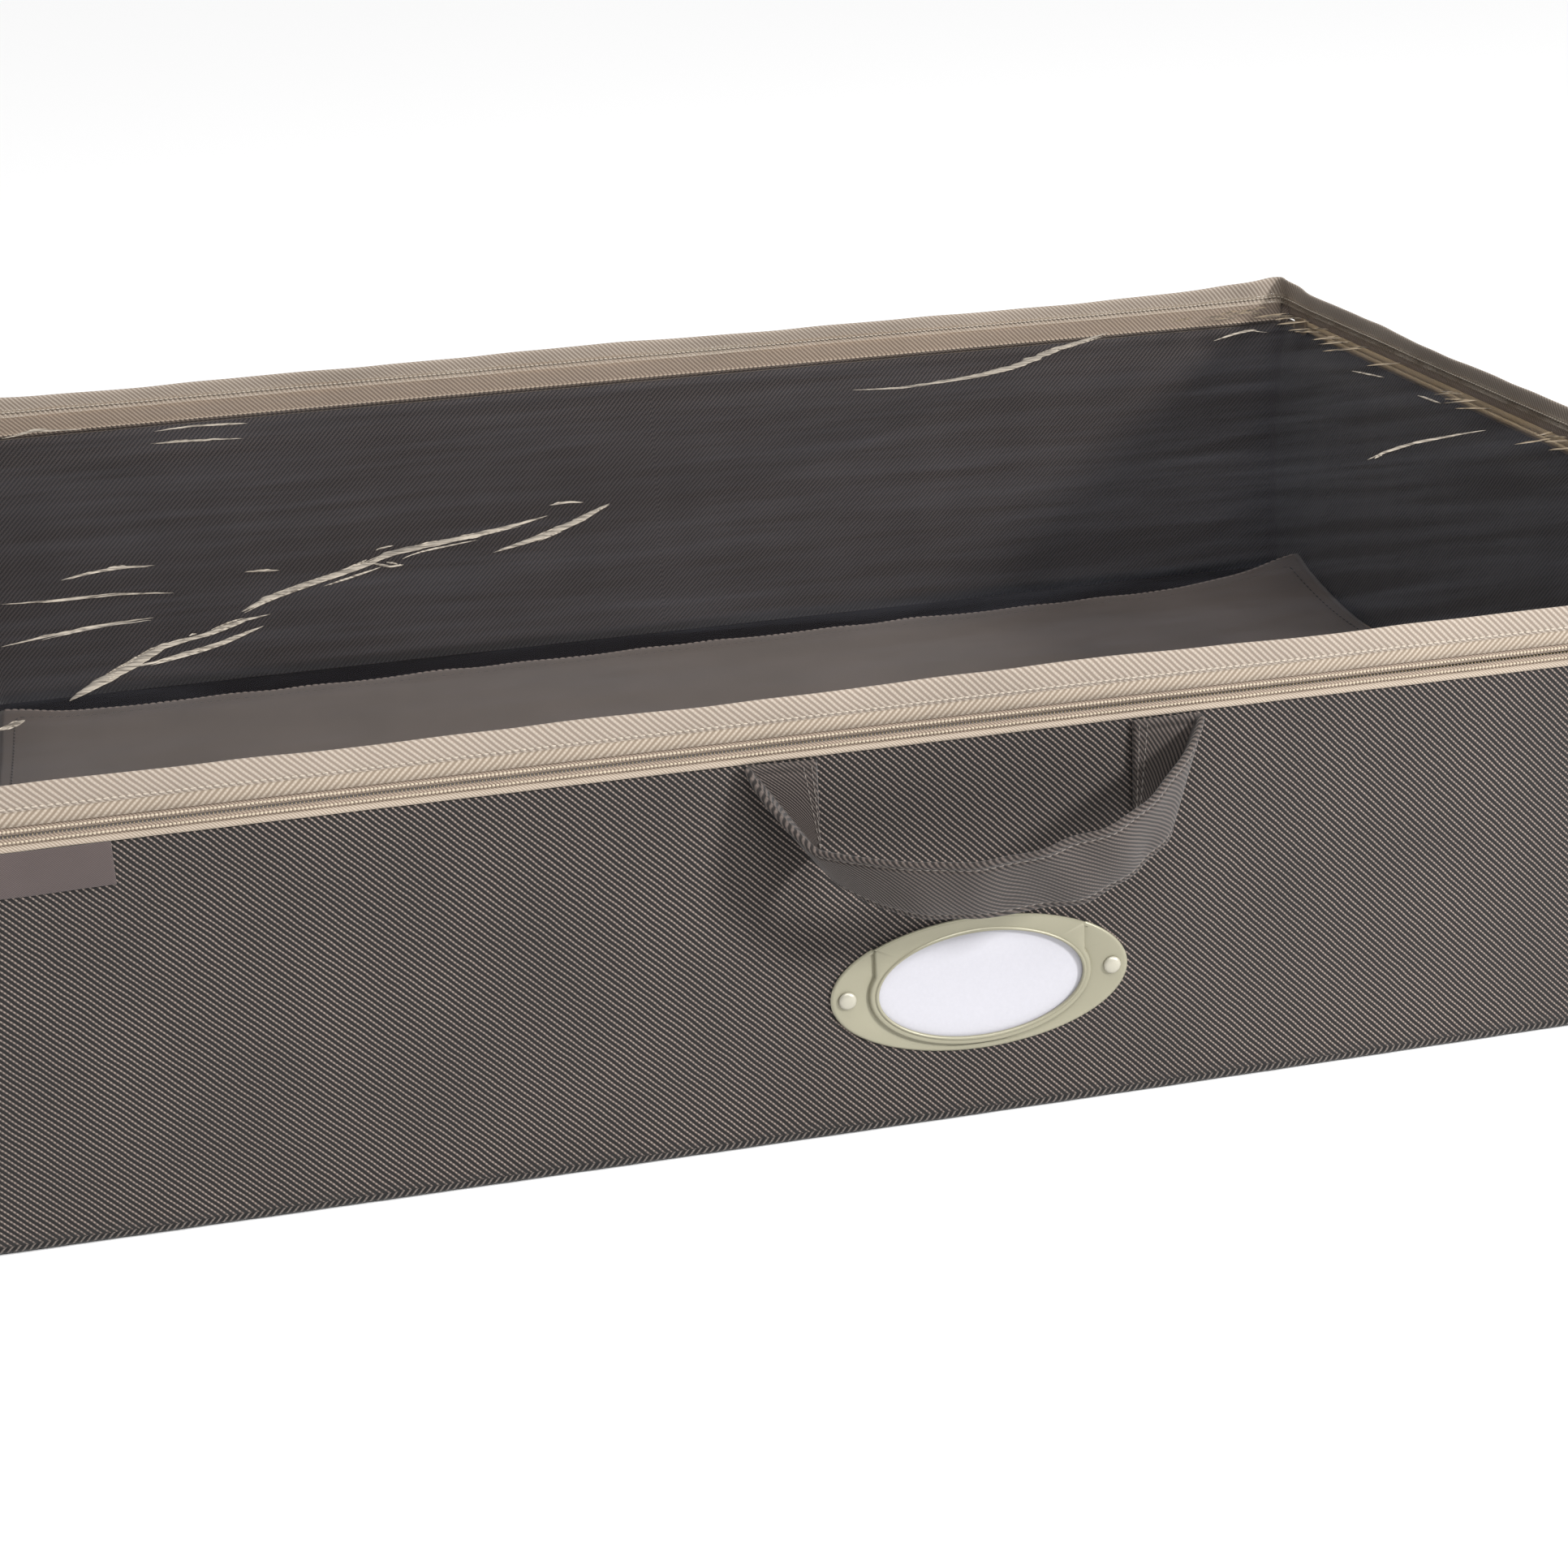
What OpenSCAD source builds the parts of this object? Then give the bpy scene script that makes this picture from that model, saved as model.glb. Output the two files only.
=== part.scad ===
/* [Box] */
// Overall width, left to right over the wall cloth
box_w = 678; // [600:1:760]
// Overall depth, front to back over the wall cloth
box_d = 566; // [480:1:640]
// Height of the top edge of the lid's zip tape
box_h = 152; // [150:0.5:170]
// Outer radius of the upright corners
corner_r = 8; // [6:0.5:14]

/* [Walls] */
// Thickness of the outer cloth, the lining and the zip tape
cloth_t = 0.8; // [0.6:0.1:0.9]
// Thickness of the stiffening board in each wall
board_t = 2.2; // [1.8:0.1:3]
// Thickness of the cloth under the box
floor_t = 1.2; // [0.8:0.1:1.6]

/* [Zip] */
// Height of the line where the zip opens, below the top edge
zip_drop = 16; // [15:0.5:17]
// Height of the wall cloth's folded top edge, below the zip line
band_drop = 4.6; // [4.4:0.1:5]
// Height of one row of coil teeth
coil_h = 2.4; // [2:0.1:2.6]
// Thickness of a row of coil teeth
coil_t = 1.6; // [1.2:0.1:1.8]
// Distance from the back of the box to the end of the zip
zip_end = 24; // [20:1:40]

/* [Lid] */
// Thickness of the clear film
film_t = 0.4; // [0.3:0.1:0.6]
// Height of the film, below the top edge
film_drop = 9.4; // [9:0.1:10]
// Height of the film's turned-up edge
seam_h = 3.4; // [2.5:0.1:4]

/* [Label holder] */
// Width of the oval plate
plate_w = 101; // [90:1:110]
// Height of the oval plate
plate_h = 47.5; // [42:0.5:52]
// Width of the oval window
window_w = 69.3; // [60:0.1:72]
// Height of the oval window
window_h = 36.8; // [32:0.1:37.5]
// Height of the plate's middle above the floor
label_z = 46.7; // [40:0.1:55]
// Distance between the two rivets
rivet_gap = 90; // [86:1:92]

/* [Handle] */
// Distance between the strap's ends along the wall
handle_w = 150; // [130:1:170]
// How far the strap's arc stands out along its own plane
handle_out = 45; // [35:1:50]
// Height of the strap
strap_h = 32; // [26:1:34]
// Thickness of the doubled strap
strap_t = 2.4; // [1.6:0.2:3]
// Angle at which the strap droops
droop = 28; // [20:1:32]

/* [Bottom insert] */
// Width of the loose bottom insert
insert_w = 664; // [560:1:664]
// Depth of the loose bottom insert
insert_d = 519; // [440:1:545]
// Overall thickness of the insert
insert_t = 3.6; // [3:0.1:5]

/* [Hidden] */
$fn = 96;

// Numbers of the four sides, counted anticlockwise from the front.
FRONT = 0;
RIGHT = 1;
BACK = 2;
LEFT = 3;
ALL = [FRONT, RIGHT, BACK, LEFT];

clear = 0.3;
zip_z = box_h - zip_drop;
film_z = box_h - film_drop;
band_z = zip_z - band_drop;

// Depths are counted inwards from the outer face of the wall.
tape_in = cloth_t * 2;
board_in = cloth_t + board_t;
wall_t = board_in + cloth_t;
board_top = zip_z - 15;
lining_top = zip_z - 4;
zip_gap = 1.2;
coil_in = tape_in + coil_t;

cloth_colour = [0.34, 0.31, 0.29];
lining_colour = [0.22, 0.2, 0.21];
tape_colour = [0.78, 0.71, 0.6];
board_colour = [0.62, 0.52, 0.4];
metal_colour = [0.68, 0.67, 0.56];

// Length of the wall on one side.
function run_of(side) = side % 2 == 0 ? box_w : box_d;

// Points of an ellipse, from its two half widths.
function ellipse(a, b) = [for (i = [0:71]) [a * cos(i * 5), b * sin(i * 5)]];

// Puts its children on one side: x along the wall, y inwards from its outer face.
module at_side(side) {
    reach = side % 2 == 0 ? box_d / 2 : box_w / 2;
    rotate([0, 0, 90 * side]) translate([0, -reach, 0]) children();
}

// A straight layer of one wall, between two depths and two heights.
module layer(side, depth, z, starts = corner_r, stops = corner_r) {
    at_side(side)
        translate([-run_of(side) / 2 + starts, depth[0], z[0]])
            cube([run_of(side) - starts - stops, depth[1] - depth[0], z[1] - z[0]]);
}

// The same layer carried round the corner after a side.
module bend(side, depth, z) {
    at_side(side)
        translate([run_of(side) / 2 - corner_r, corner_r, z[0]])
            rotate([0, 0, -90])
                rotate_extrude(angle = 90)
                    translate([corner_r - depth[1], 0])
                        square([depth[1] - depth[0], z[1] - z[0]]);
}

// A rectangle with round corners, centred.
module round_rect(w, d, r) {
    square([w - 2 * r, d], center = true);
    square([w, d - 2 * r], center = true);
    for (x = [-1, 1], y = [-1, 1])
        translate([x * (w / 2 - r), y * (d / 2 - r)]) circle(r);
}

// A flat sheet that stops a given depth inside the outer face.
module sheet_inside(depth, z, t) {
    translate([0, 0, z])
        linear_extrude(t) round_rect(box_w - 2 * depth, box_d - 2 * depth, corner_r - depth);
}

// Turns a flat outline to stand on the front wall, between two distances in front of it.
module on_front(x, z, from, to) {
    translate([x, -box_d / 2 - from, z])
        rotate([90, 0, 0]) linear_extrude(to - from) children();
}

// The two rivet holes, through everything.
module rivet_holes() {
    for (x = [-1, 1])
        on_front(x * rivet_gap / 2, label_z, -8, 4) circle(1.55);
}

// ---- The walls ----

wall_z = [floor_t, band_z];

module floor_cloth() color(cloth_colour) sheet_inside(0, 0, floor_t);

module front_cloth() color(cloth_colour)
    difference() {
        layer(FRONT, [0, cloth_t], wall_z);
        rivet_holes();
    }

module outer_cloth(side) color(cloth_colour) layer(side, [0, cloth_t], wall_z);

module corner_cloths() color(cloth_colour)
    for (side = ALL) bend(side, [0, cloth_t], wall_z);

module front_board() color(board_colour)
    difference() {
        layer(FRONT, [cloth_t, board_in], [floor_t, board_top]);
        rivet_holes();
    }

module board(side) color(board_colour)
    layer(side, [cloth_t, board_in], [floor_t, board_top]);

// The lining rises behind the board, steps over it and ends against the tape.
module lining_run(side) {
    layer(side, [board_in, wall_t], [floor_t, board_top]);
    layer(side, [tape_in, wall_t], [board_top, board_top + cloth_t]);
    layer(side, [tape_in, tape_in + cloth_t], [board_top + cloth_t, lining_top]);
}

module front_lining() color(lining_colour)
    difference() {
        lining_run(FRONT);
        rivet_holes();
    }

module lining(side) color(lining_colour) lining_run(side);

module corner_linings() color(lining_colour)
    for (side = ALL) {
        bend(side, [board_in, wall_t], [floor_t, board_top]);
        bend(side, [tape_in, wall_t], [board_top, board_top + cloth_t]);
        bend(side, [tape_in, tape_in + cloth_t], [board_top + cloth_t, lining_top]);
    }

piping_r = 1.2;
module bottom_piping() color(lining_colour)
    for (side = ALL) {
        layer(side, [-piping_r, 0], [clear, clear + 2 * piping_r]);
        bend(side, [-piping_r, 0], [clear, clear + 2 * piping_r]);
    }

// ---- The zip ----

wall_tape_z = [board_top, zip_z - zip_gap / 2];
lid_tape_z = [zip_z + zip_gap / 2, box_h];
tape_depth = [cloth_t, tape_in];
coil_depth = [tape_in, coil_in];

// A tape on one side, with the bends that belong to it.
module tape(side, z, bends) color(tape_colour) {
    layer(side, tape_depth, z);
    for (corner = bends) bend(corner, tape_depth, z);
}

// A row of coil teeth along the right side, the front and the left side.
module coil(z) color(tape_colour) {
    layer(FRONT, coil_depth, z);
    layer(RIGHT, coil_depth, z, corner_r, zip_end);
    layer(LEFT, coil_depth, z, zip_end, corner_r);
    bend(FRONT, coil_depth, z);
    bend(LEFT, coil_depth, z);
}

wall_coil_z = [zip_z - zip_gap / 2 - coil_h, zip_z - zip_gap / 2];
lid_coil_z = [zip_z + zip_gap / 2, zip_z + zip_gap / 2 + coil_h];

stop_l = 4;
module zip_stops() color(tape_colour) {
    layer(RIGHT, coil_depth, wall_coil_z, box_d - zip_end, zip_end - stop_l);
    layer(LEFT, coil_depth, wall_coil_z, zip_end - stop_l, box_d - zip_end);
}

// The slider is parked just in front of the zip's right-hand end.
slider_l = 13;
slider_x = box_d / 2 - zip_end - 8;
slider_z = [zip_z - 4.2, zip_z + 4.6];
plate_t = 1.5;
front_plate = [cloth_t - clear - plate_t, cloth_t - clear];
back_plate = [coil_in + clear, coil_in + clear + plate_t];
post_h = 0.6;
crown_l = 10;
crown_w = 2.4;
crown_t = 0.8;
crown_out = 2.8;
bar_depth = front_plate[0] - 1;

module slider() color(metal_colour)
    at_side(RIGHT) translate([slider_x, 0, 0]) {
        for (p = [front_plate, back_plate])
            translate([-slider_l / 2, p[0], slider_z[0]])
                cube([slider_l, plate_t, slider_z[1] - slider_z[0]]);
        translate([-2, front_plate[0], zip_z - post_h / 2])
            cube([4, back_plate[1] - front_plate[0], post_h]);
        difference() {
            translate([-crown_l / 2, front_plate[0] - crown_out, zip_z - crown_w / 2])
                cube([crown_l, crown_out, crown_w]);
            translate([-crown_l / 2 + 1.4, front_plate[0] - crown_out + crown_t, zip_z - crown_w])
                cube([crown_l - 2.8, crown_out, crown_w * 2]);
        }
    }

// The pull tab turns on a round bar under the slider's crown.
tab_l = 27;
tab_w = 7;
tab_t = 1;
arm_from = crown_w / 2 + 0.4;
module pull_tab() color(metal_colour)
    at_side(RIGHT) translate([slider_x, bar_depth, zip_z]) {
        cylinder(r = tab_t / 2, h = tab_w, center = true);
        translate([-tab_l, -tab_t / 2, -tab_w / 2])
            difference() {
                cube([tab_l, tab_t, tab_w]);
                translate([tab_l - 7, -1, tab_w / 2 - arm_from])
                    cube([8, tab_t + 2, arm_from * 2]);
                translate([5, -1, tab_w / 2]) rotate([-90, 0, 0]) cylinder(r = 1.6, h = 4);
            }
    }

// ---- The lid ----

module lid_film() color([0.8, 0.85, 0.9, 0.35]) sheet_inside(tape_in, film_z, film_t);

module film_seam() color([0.9, 0.9, 0.88])
    for (side = ALL) {
        layer(side, [tape_in, tape_in + 0.5], [film_z + film_t, film_z + film_t + seam_h]);
        bend(side, [tape_in, tape_in + 0.5], [film_z + film_t, film_z + film_t + seam_h]);
    }

// ---- The label holder ----

skin_t = 0.9;
pocket_d = 1.2;
pocket_a = window_w / 2 + 2.15;
pocket_b = window_h / 2 + 2.1;
rim = 1.2;

// The pocket's outline: an ellipse below, straight sides above.
module pocket_outline(grow) {
    polygon(ellipse(pocket_a + grow, pocket_b + grow));
    translate([-pocket_a - grow, 0]) square([2 * (pocket_a + grow), plate_h / 2]);
}

module label_plate() color(metal_colour)
    difference() {
        union() {
            on_front(0, label_z, 0, skin_t) polygon(ellipse(plate_w / 2, plate_h / 2));
            on_front(0, label_z, 0, pocket_d + skin_t)
                intersection() {
                    polygon(ellipse(plate_w / 2, plate_h / 2));
                    pocket_outline(rim);
                }
        }
        on_front(0, label_z, -1, pocket_d) pocket_outline(0);
        on_front(0, label_z, -1, pocket_d + skin_t + 1)
            polygon(ellipse(window_w / 2, window_h / 2));
        rivet_holes();
    }

module label_card() color([0.94, 0.94, 0.96])
    on_front(0, label_z, clear, clear + 0.5)
        polygon(ellipse(pocket_a - 0.4, pocket_b - 0.4));

// A domed head outside, a shank through the wall and a turned-over tail inside.
rivet_head = 3;
rivet_shank = 1.5;
module rivet() rotate_extrude()
    polygon([
        [0, wall_t + 1.1], [2.2, wall_t + 1.1], [2.2, wall_t + 0.6], [rivet_shank, wall_t + 0.6],
        [rivet_shank, -skin_t], [rivet_head, -skin_t], [rivet_head - 0.4, -skin_t - 0.8],
        [rivet_head - 1.4, -skin_t - 1.2], [0, -skin_t - 1.3]
    ]);

module at_rivets()
    for (x = [-1, 1])
        translate([x * rivet_gap / 2, -box_d / 2, label_z]) rotate([-90, 0, 0]) children();

module rivets() color(metal_colour) at_rivets() rivet();

module rivet_washers() color(metal_colour)
    at_rivets() translate([0, 0, wall_t])
        difference() {
            cylinder(r = 4, h = 0.6);
            translate([0, 0, -1]) cylinder(r = 1.55, h = 3);
        }

// ---- The handle ----

// The strap is a band bent to an arc, drooping from its ends under the zip tape.
arc_r = (pow(handle_w / 2, 2) + pow(handle_out, 2)) / (2 * handle_out);
end_t = 1.2;
handle_top = band_z - 0.4;
module handle_strap() color(cloth_colour)
    difference() {
        translate([0, -box_d / 2 - end_t, handle_top])
            rotate([droop, 0, 0])
                translate([0, arc_r - handle_out, -strap_h])
                    linear_extrude(strap_h) difference() {
                        circle(arc_r + strap_t / 2);
                        circle(arc_r - strap_t / 2);
                    }
        translate([-200, -box_d / 2 - end_t - clear, -100]) cube([400, 300, 400]);
        translate([-200, -box_d / 2 - 100, handle_top]) cube([400, 200, 100]);
    }

end_w = 23;
end_h = 31;
module handle_ends() color(cloth_colour)
    for (x = [-1, 1])
        translate([x * (handle_w / 2 + 1 - end_w / 2) - end_w / 2, -box_d / 2 - end_t, handle_top - end_h])
            cube([end_w, end_t, end_h]);

tag_w = 39;
tag_h = 14;
tag_t = 0.6;
module side_tag() color([0.33, 0.27, 0.29])
    translate([-box_w / 2 + 32, -box_d / 2 - tag_t, band_z - tag_h])
        cube([tag_w, tag_t, tag_h]);

// ---- The bottom insert ----

insert_z = floor_t + clear;
insert_front = 6;
insert_skin = 0.6;
module insert_block(inset, z, t)
    translate([-insert_w / 2 + inset, -box_d / 2 + insert_front + inset, z])
        cube([insert_w - 2 * inset, insert_d - 2 * inset, t]);

module insert_cover() color(cloth_colour)
    difference() {
        insert_block(0, insert_z, insert_t);
        insert_block(insert_skin, insert_z - 1, insert_t + 1 - insert_skin);
    }

module insert_backing() color(lining_colour)
    insert_block(insert_skin, insert_z, insert_skin);

module insert_board() color(board_colour)
    insert_block(insert_skin, insert_z + insert_skin, insert_t - 2 * insert_skin);

// ---- Nodes ----

floor_cloth();
front_cloth();
outer_cloth(RIGHT);  // right_cloth
outer_cloth(BACK);  // back_cloth
outer_cloth(LEFT);  // left_cloth
corner_cloths();
front_board();
board(RIGHT);  // right_board
board(BACK);  // back_board
board(LEFT);  // left_board
front_lining();
lining(RIGHT);  // right_lining
lining(BACK);  // back_lining
lining(LEFT);  // left_lining
corner_linings();
bottom_piping();
tape(FRONT, wall_tape_z, [FRONT, LEFT]);  // front_wall_tape
tape(RIGHT, wall_tape_z, [RIGHT]);  // right_wall_tape
tape(BACK, wall_tape_z, []);  // back_wall_tape
tape(LEFT, wall_tape_z, [BACK]);  // left_wall_tape
coil(wall_coil_z);  // wall_coil
zip_stops();
side_tag();
handle_ends();
label_plate();
rivets();
rivet_washers();
label_card();
handle_strap();
lid_film();
film_seam();
tape(FRONT, lid_tape_z, [FRONT, LEFT]);  // front_lid_tape
tape(RIGHT, lid_tape_z, [RIGHT]);  // right_lid_tape
tape(BACK, lid_tape_z, []);  // back_lid_tape
tape(LEFT, lid_tape_z, [BACK]);  // left_lid_tape
coil(lid_coil_z);  // lid_coil
slider();
pull_tab();
insert_cover();
insert_board();
insert_backing();
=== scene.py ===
# %% [markdown]
# # A zip-topped cloth box
#
# This lesson dresses a low storage box: twill walls stiffened with board, a clear vinyl lid framed by zip
# tape, a strap handle, a riveted label holder and a loose bottom insert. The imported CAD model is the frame:
# it says where every part is. Each cell adds one part or one finish around it.

# %% Load the frame
import math

import bpy
import numpy as np
from mathutils import Matrix, Vector


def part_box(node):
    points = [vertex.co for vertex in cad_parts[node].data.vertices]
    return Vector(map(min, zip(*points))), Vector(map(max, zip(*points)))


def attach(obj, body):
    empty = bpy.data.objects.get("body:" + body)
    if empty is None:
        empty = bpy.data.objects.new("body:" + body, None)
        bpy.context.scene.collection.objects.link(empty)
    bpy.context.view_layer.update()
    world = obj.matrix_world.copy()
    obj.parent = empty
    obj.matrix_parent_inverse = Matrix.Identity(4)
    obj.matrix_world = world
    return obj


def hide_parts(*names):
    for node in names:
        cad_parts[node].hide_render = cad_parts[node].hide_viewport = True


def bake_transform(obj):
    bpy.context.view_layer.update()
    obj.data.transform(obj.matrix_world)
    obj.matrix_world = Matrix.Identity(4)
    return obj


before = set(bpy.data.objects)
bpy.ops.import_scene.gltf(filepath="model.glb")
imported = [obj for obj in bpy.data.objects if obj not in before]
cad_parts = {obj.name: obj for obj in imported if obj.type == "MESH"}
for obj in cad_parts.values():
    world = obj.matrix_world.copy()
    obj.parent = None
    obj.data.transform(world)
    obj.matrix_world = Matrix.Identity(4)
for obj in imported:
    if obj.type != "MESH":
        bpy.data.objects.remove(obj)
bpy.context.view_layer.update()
MM = 0.001
print("frame nodes:", len(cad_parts))

# %% [markdown]
# ## The sizes, read from the frame
#
# Nothing is measured twice: width, depth, corner radius and the heights of the zip and film all come from
# the CAD nodes. Everything below works in millimetres and is scaled once, when a mesh gets its points.

# %% Sizes from the frame


def limits(node):
    """Lowest and highest corner of a CAD node, in millimetres."""
    low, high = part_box(node)
    return np.array(low) / MM, np.array(high) / MM


floor_low, floor_high = limits("floor_cloth")
front_low, front_high = limits("front_cloth")
lid_low, lid_high = limits("front_lid_tape")
plate_low, plate_high = limits("label_plate")
insert_low, insert_high = limits("insert_cover")

WIDE = floor_high[0] - floor_low[0]
DEEP = floor_high[1] - floor_low[1]
CORNER = (WIDE - (front_high[0] - front_low[0])) / 2
BAND_Z = front_high[2]
ZIP_Z = lid_low[2] - 0.6
TOP_Z = lid_high[2]
FILM_Z = limits("lid_film")[0][2]
LINING_TOP = limits("back_lining")[1][2]
FRONT_Y = floor_low[1]
print(f"box {WIDE:.0f} x {DEEP:.0f} x {TOP_Z:.0f} mm, zip at {ZIP_Z:.1f}, film at {FILM_Z:.1f}")

# %% [markdown]
# ## The camera
#
# A long lens stands a little to the left of the box and looks down on it by about twenty degrees, with the
# small tilt of a hand-held shot. Its place is given in the box's own frame.

# %% Camera
CAMERA_AT = Vector((-237.5, -1093.3, 430.6)) * MM
LOOK_RIGHT = math.radians(12.19)
LOOK_DOWN = math.radians(20.33)
TILT = math.radians(-2.65)

bpy.ops.object.camera_add(location=CAMERA_AT)
camera = bpy.context.object
turned = Matrix.Rotation(-LOOK_RIGHT, 3, "Z") @ Matrix.Rotation(math.pi / 2 - LOOK_DOWN, 3, "X")
camera.rotation_euler = (turned @ Matrix.Rotation(TILT, 3, "Z")).to_euler()
camera.data.lens = 64.84
camera.data.sensor_width = 36
camera.data.clip_end = 50
bpy.context.scene.camera = camera
print("camera lens", camera.data.lens)

# %% [markdown]
# ## The studio
#
# A pale sweep under an even white sky keeps the ground plain. A broad overhead sun lights the sweep out to
# the horizon. One soft lamp stands near the right, so the front is brightest there and the handle drops its
# shadow to the left.

# %% Studio
SKY, SUN = 0.42, 2.3
LAMP_AT, LAMP_AIM, LAMP_SIZE, LAMP_WATTS = (1.65, -1.75, 1.2), (0.1, -0.2, 0.05), 0.35, 63
bpy.context.scene.view_settings.view_transform = "Standard"
world = bpy.data.worlds.new("studio")
bpy.context.scene.world = world
world.use_nodes = True
world.node_tree.nodes["Background"].inputs["Color"].default_value = (1, 1, 1, 1)
world.node_tree.nodes["Background"].inputs["Strength"].default_value = SKY


def lamp(name, place, aim, size, power):
    """A square soft lamp that faces a point."""
    bpy.ops.object.light_add(type="AREA", location=place)
    light = bpy.context.object
    light.name = name
    light.rotation_euler = (Vector(aim) - Vector(place)).to_track_quat("-Z", "Y").to_euler()
    light.data.size = size
    light.data.energy = power
    return light


lamp("key", LAMP_AT, LAMP_AIM, LAMP_SIZE, LAMP_WATTS)
bpy.ops.object.light_add(type="SUN", rotation=(math.radians(28), math.radians(6), 0))
bpy.context.object.data.energy = SUN
bpy.context.object.data.angle = math.radians(35)

# %% [markdown]
# ## Helpers for modelling
#
# Most of this box is cloth laid along a line: a wall, a tape, a hem. So one helper lays a grid by a rule.
# The others select one piece, apply a modifier, read and move points, close a seam, turn faces outwards,
# join pieces and give cloth its thickness.

# %% Modelling helpers


def only(piece):
    """Selects one piece and nothing else."""
    bpy.ops.object.select_all(action="DESELECT")
    piece.select_set(True)
    bpy.context.view_layer.objects.active = piece
    return piece


def apply(piece, kind, **settings):
    """Adds a modifier, sets it and applies it."""
    only(piece)
    modifier = piece.modifiers.new(kind.title(), kind)
    for key, value in settings.items():
        setattr(modifier, key, value)
    bpy.ops.object.modifier_apply(modifier=modifier.name)
    return piece


def points_of(piece):
    """The piece's points as an array, in millimetres."""
    found = np.empty(len(piece.data.vertices) * 3)
    piece.data.vertices.foreach_get("co", found)
    return found.reshape(-1, 3) / MM


def move_points(piece, points):
    """Puts the piece's points at new places, given in millimetres."""
    piece.data.vertices.foreach_set("co", (np.asarray(points) * MM).ravel())
    piece.data.update()


def lay(name, along, across, place, material):
    """A grid laid by place(u, v), which returns a point and its spot on the flat cloth, in millimetres."""
    bpy.ops.object.select_all(action="DESELECT")
    bpy.ops.mesh.primitive_grid_add(x_subdivisions=along, y_subdivisions=across, size=1)
    piece = bpy.context.object
    piece.name = piece.data.name = name
    spots = points_of(piece) * MM + 0.5  # a one-metre grid, so its points run from 0 to 1
    points, flat = place(spots[:, 0], spots[:, 1])
    move_points(piece, points)
    corners = np.empty(len(piece.data.loops), int)
    piece.data.loops.foreach_get("vertex_index", corners)
    piece.data.uv_layers[0].name = "Cloth"
    piece.data.uv_layers[0].data.foreach_set("uv", (flat[corners] * MM).ravel())
    piece.data.materials.append(material)
    bpy.ops.object.shade_smooth()
    return piece


def merge(piece):
    """Closes the seam where a grid meets itself."""
    only(piece)
    bpy.ops.object.mode_set(mode="EDIT")
    bpy.ops.mesh.select_all(action="SELECT")
    bpy.ops.mesh.remove_doubles(threshold=0.00002)
    bpy.ops.object.mode_set(mode="OBJECT")
    return piece


def face_outwards(piece):
    """Turns every face of a closed piece outwards."""
    only(piece)
    bpy.ops.object.mode_set(mode="EDIT")
    bpy.ops.mesh.select_all(action="SELECT")
    bpy.ops.mesh.normals_make_consistent(inside=False)
    bpy.ops.object.mode_set(mode="OBJECT")
    return piece


def joined(pieces, name):
    """Joins pieces into one and names it."""
    only(pieces[0])
    for piece in pieces:
        piece.select_set(True)
    bpy.ops.object.join()
    pieces[0].name = pieces[0].data.name = name
    return pieces[0]


def thicken(piece, mm, offset=-1.0, rounding=0.0):
    """Gives a laid cloth its thickness, inwards, and may round its cut edges."""
    apply(piece, "SOLIDIFY", thickness=mm * MM, offset=offset, use_even_offset=False)
    if rounding:
        apply(piece, "BEVEL", width=rounding * MM, segments=2, limit_method="ANGLE",
              angle_limit=math.radians(50))
        bpy.ops.object.shade_smooth()
    return piece


# %% [markdown]
# ## The line round the box
#
# Walls, tapes, seams and piping all follow one rounded rectangle. `outline` gives the point at a distance
# round it, counted anticlockwise from the middle of the back, and the direction that faces out.

# %% The line round the box
HALF_W, HALF_D = WIDE / 2, DEEP / 2
ARC = math.pi * CORNER / 2
BACK_HALF = HALF_W - CORNER
SIDE = DEEP - 2 * CORNER
FRONT = WIDE - 2 * CORNER
# Where each corner's bend begins: back left, front left, front right and back right.
TURNS = np.cumsum([BACK_HALF, ARC + SIDE, ARC + FRONT, ARC + SIDE])
GIRTH = TURNS[3] + ARC + BACK_HALF
BACK_LEFT, FRONT_LEFT, FRONT_RIGHT, BACK_RIGHT = TURNS + ARC / 2


def outline(s, depth=0.0):
    """Point and outward direction at distance s, set inwards by depth."""
    s = np.mod(np.asarray(s, float), GIRTH)
    bend = np.zeros_like(s)
    for turn in TURNS:
        bend += np.clip((s - turn) / ARC, 0, 1)
    angle = math.pi / 2 + bend * math.pi / 2
    out = np.stack([np.cos(angle), np.sin(angle)], axis=-1)
    run = s - bend * ARC
    walks = np.array([BACK_HALF, SIDE, FRONT, SIDE, BACK_HALF])
    starts = np.concatenate([[0], np.cumsum(walks)])
    x = np.interp(run, starts, [0, -BACK_HALF, -BACK_HALF, BACK_HALF, BACK_HALF, 0])
    y = np.interp(run, starts, np.array([1, 1, -1, -1, 1, 1]) * (HALF_D - CORNER))
    reach = np.broadcast_to(CORNER - np.asarray(depth, float), s.shape)
    return np.stack([x, y], axis=-1) + out * reach[..., None], out


def ripple(s, *waves):
    """A sum of slow waves, each a height, a length and a shift. A whole number of each fits the line."""
    counts = [(high, round(GIRTH / length), shift) for high, length, shift in waves]
    return sum(high * np.sin(2 * math.pi * count * (s + shift) / GIRTH) for high, count, shift in counts)


def near(s, spot, reach):
    """One at a spot on the line, falling smoothly to nothing over the reach."""
    gap = np.abs(np.mod(s - spot + GIRTH / 2, GIRTH) - GIRTH / 2)
    return np.exp(-((gap / reach) ** 1.5))


print(f"girth {GIRTH:.0f} mm")

# %% [markdown]
# ## Colours and nodes
#
# Colours are written as sRGB hex values, as a dye card gives them, and turned to linear light by one
# function. One more function adds a shader node with its settings and links.

# %% Colour and node helpers


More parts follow.
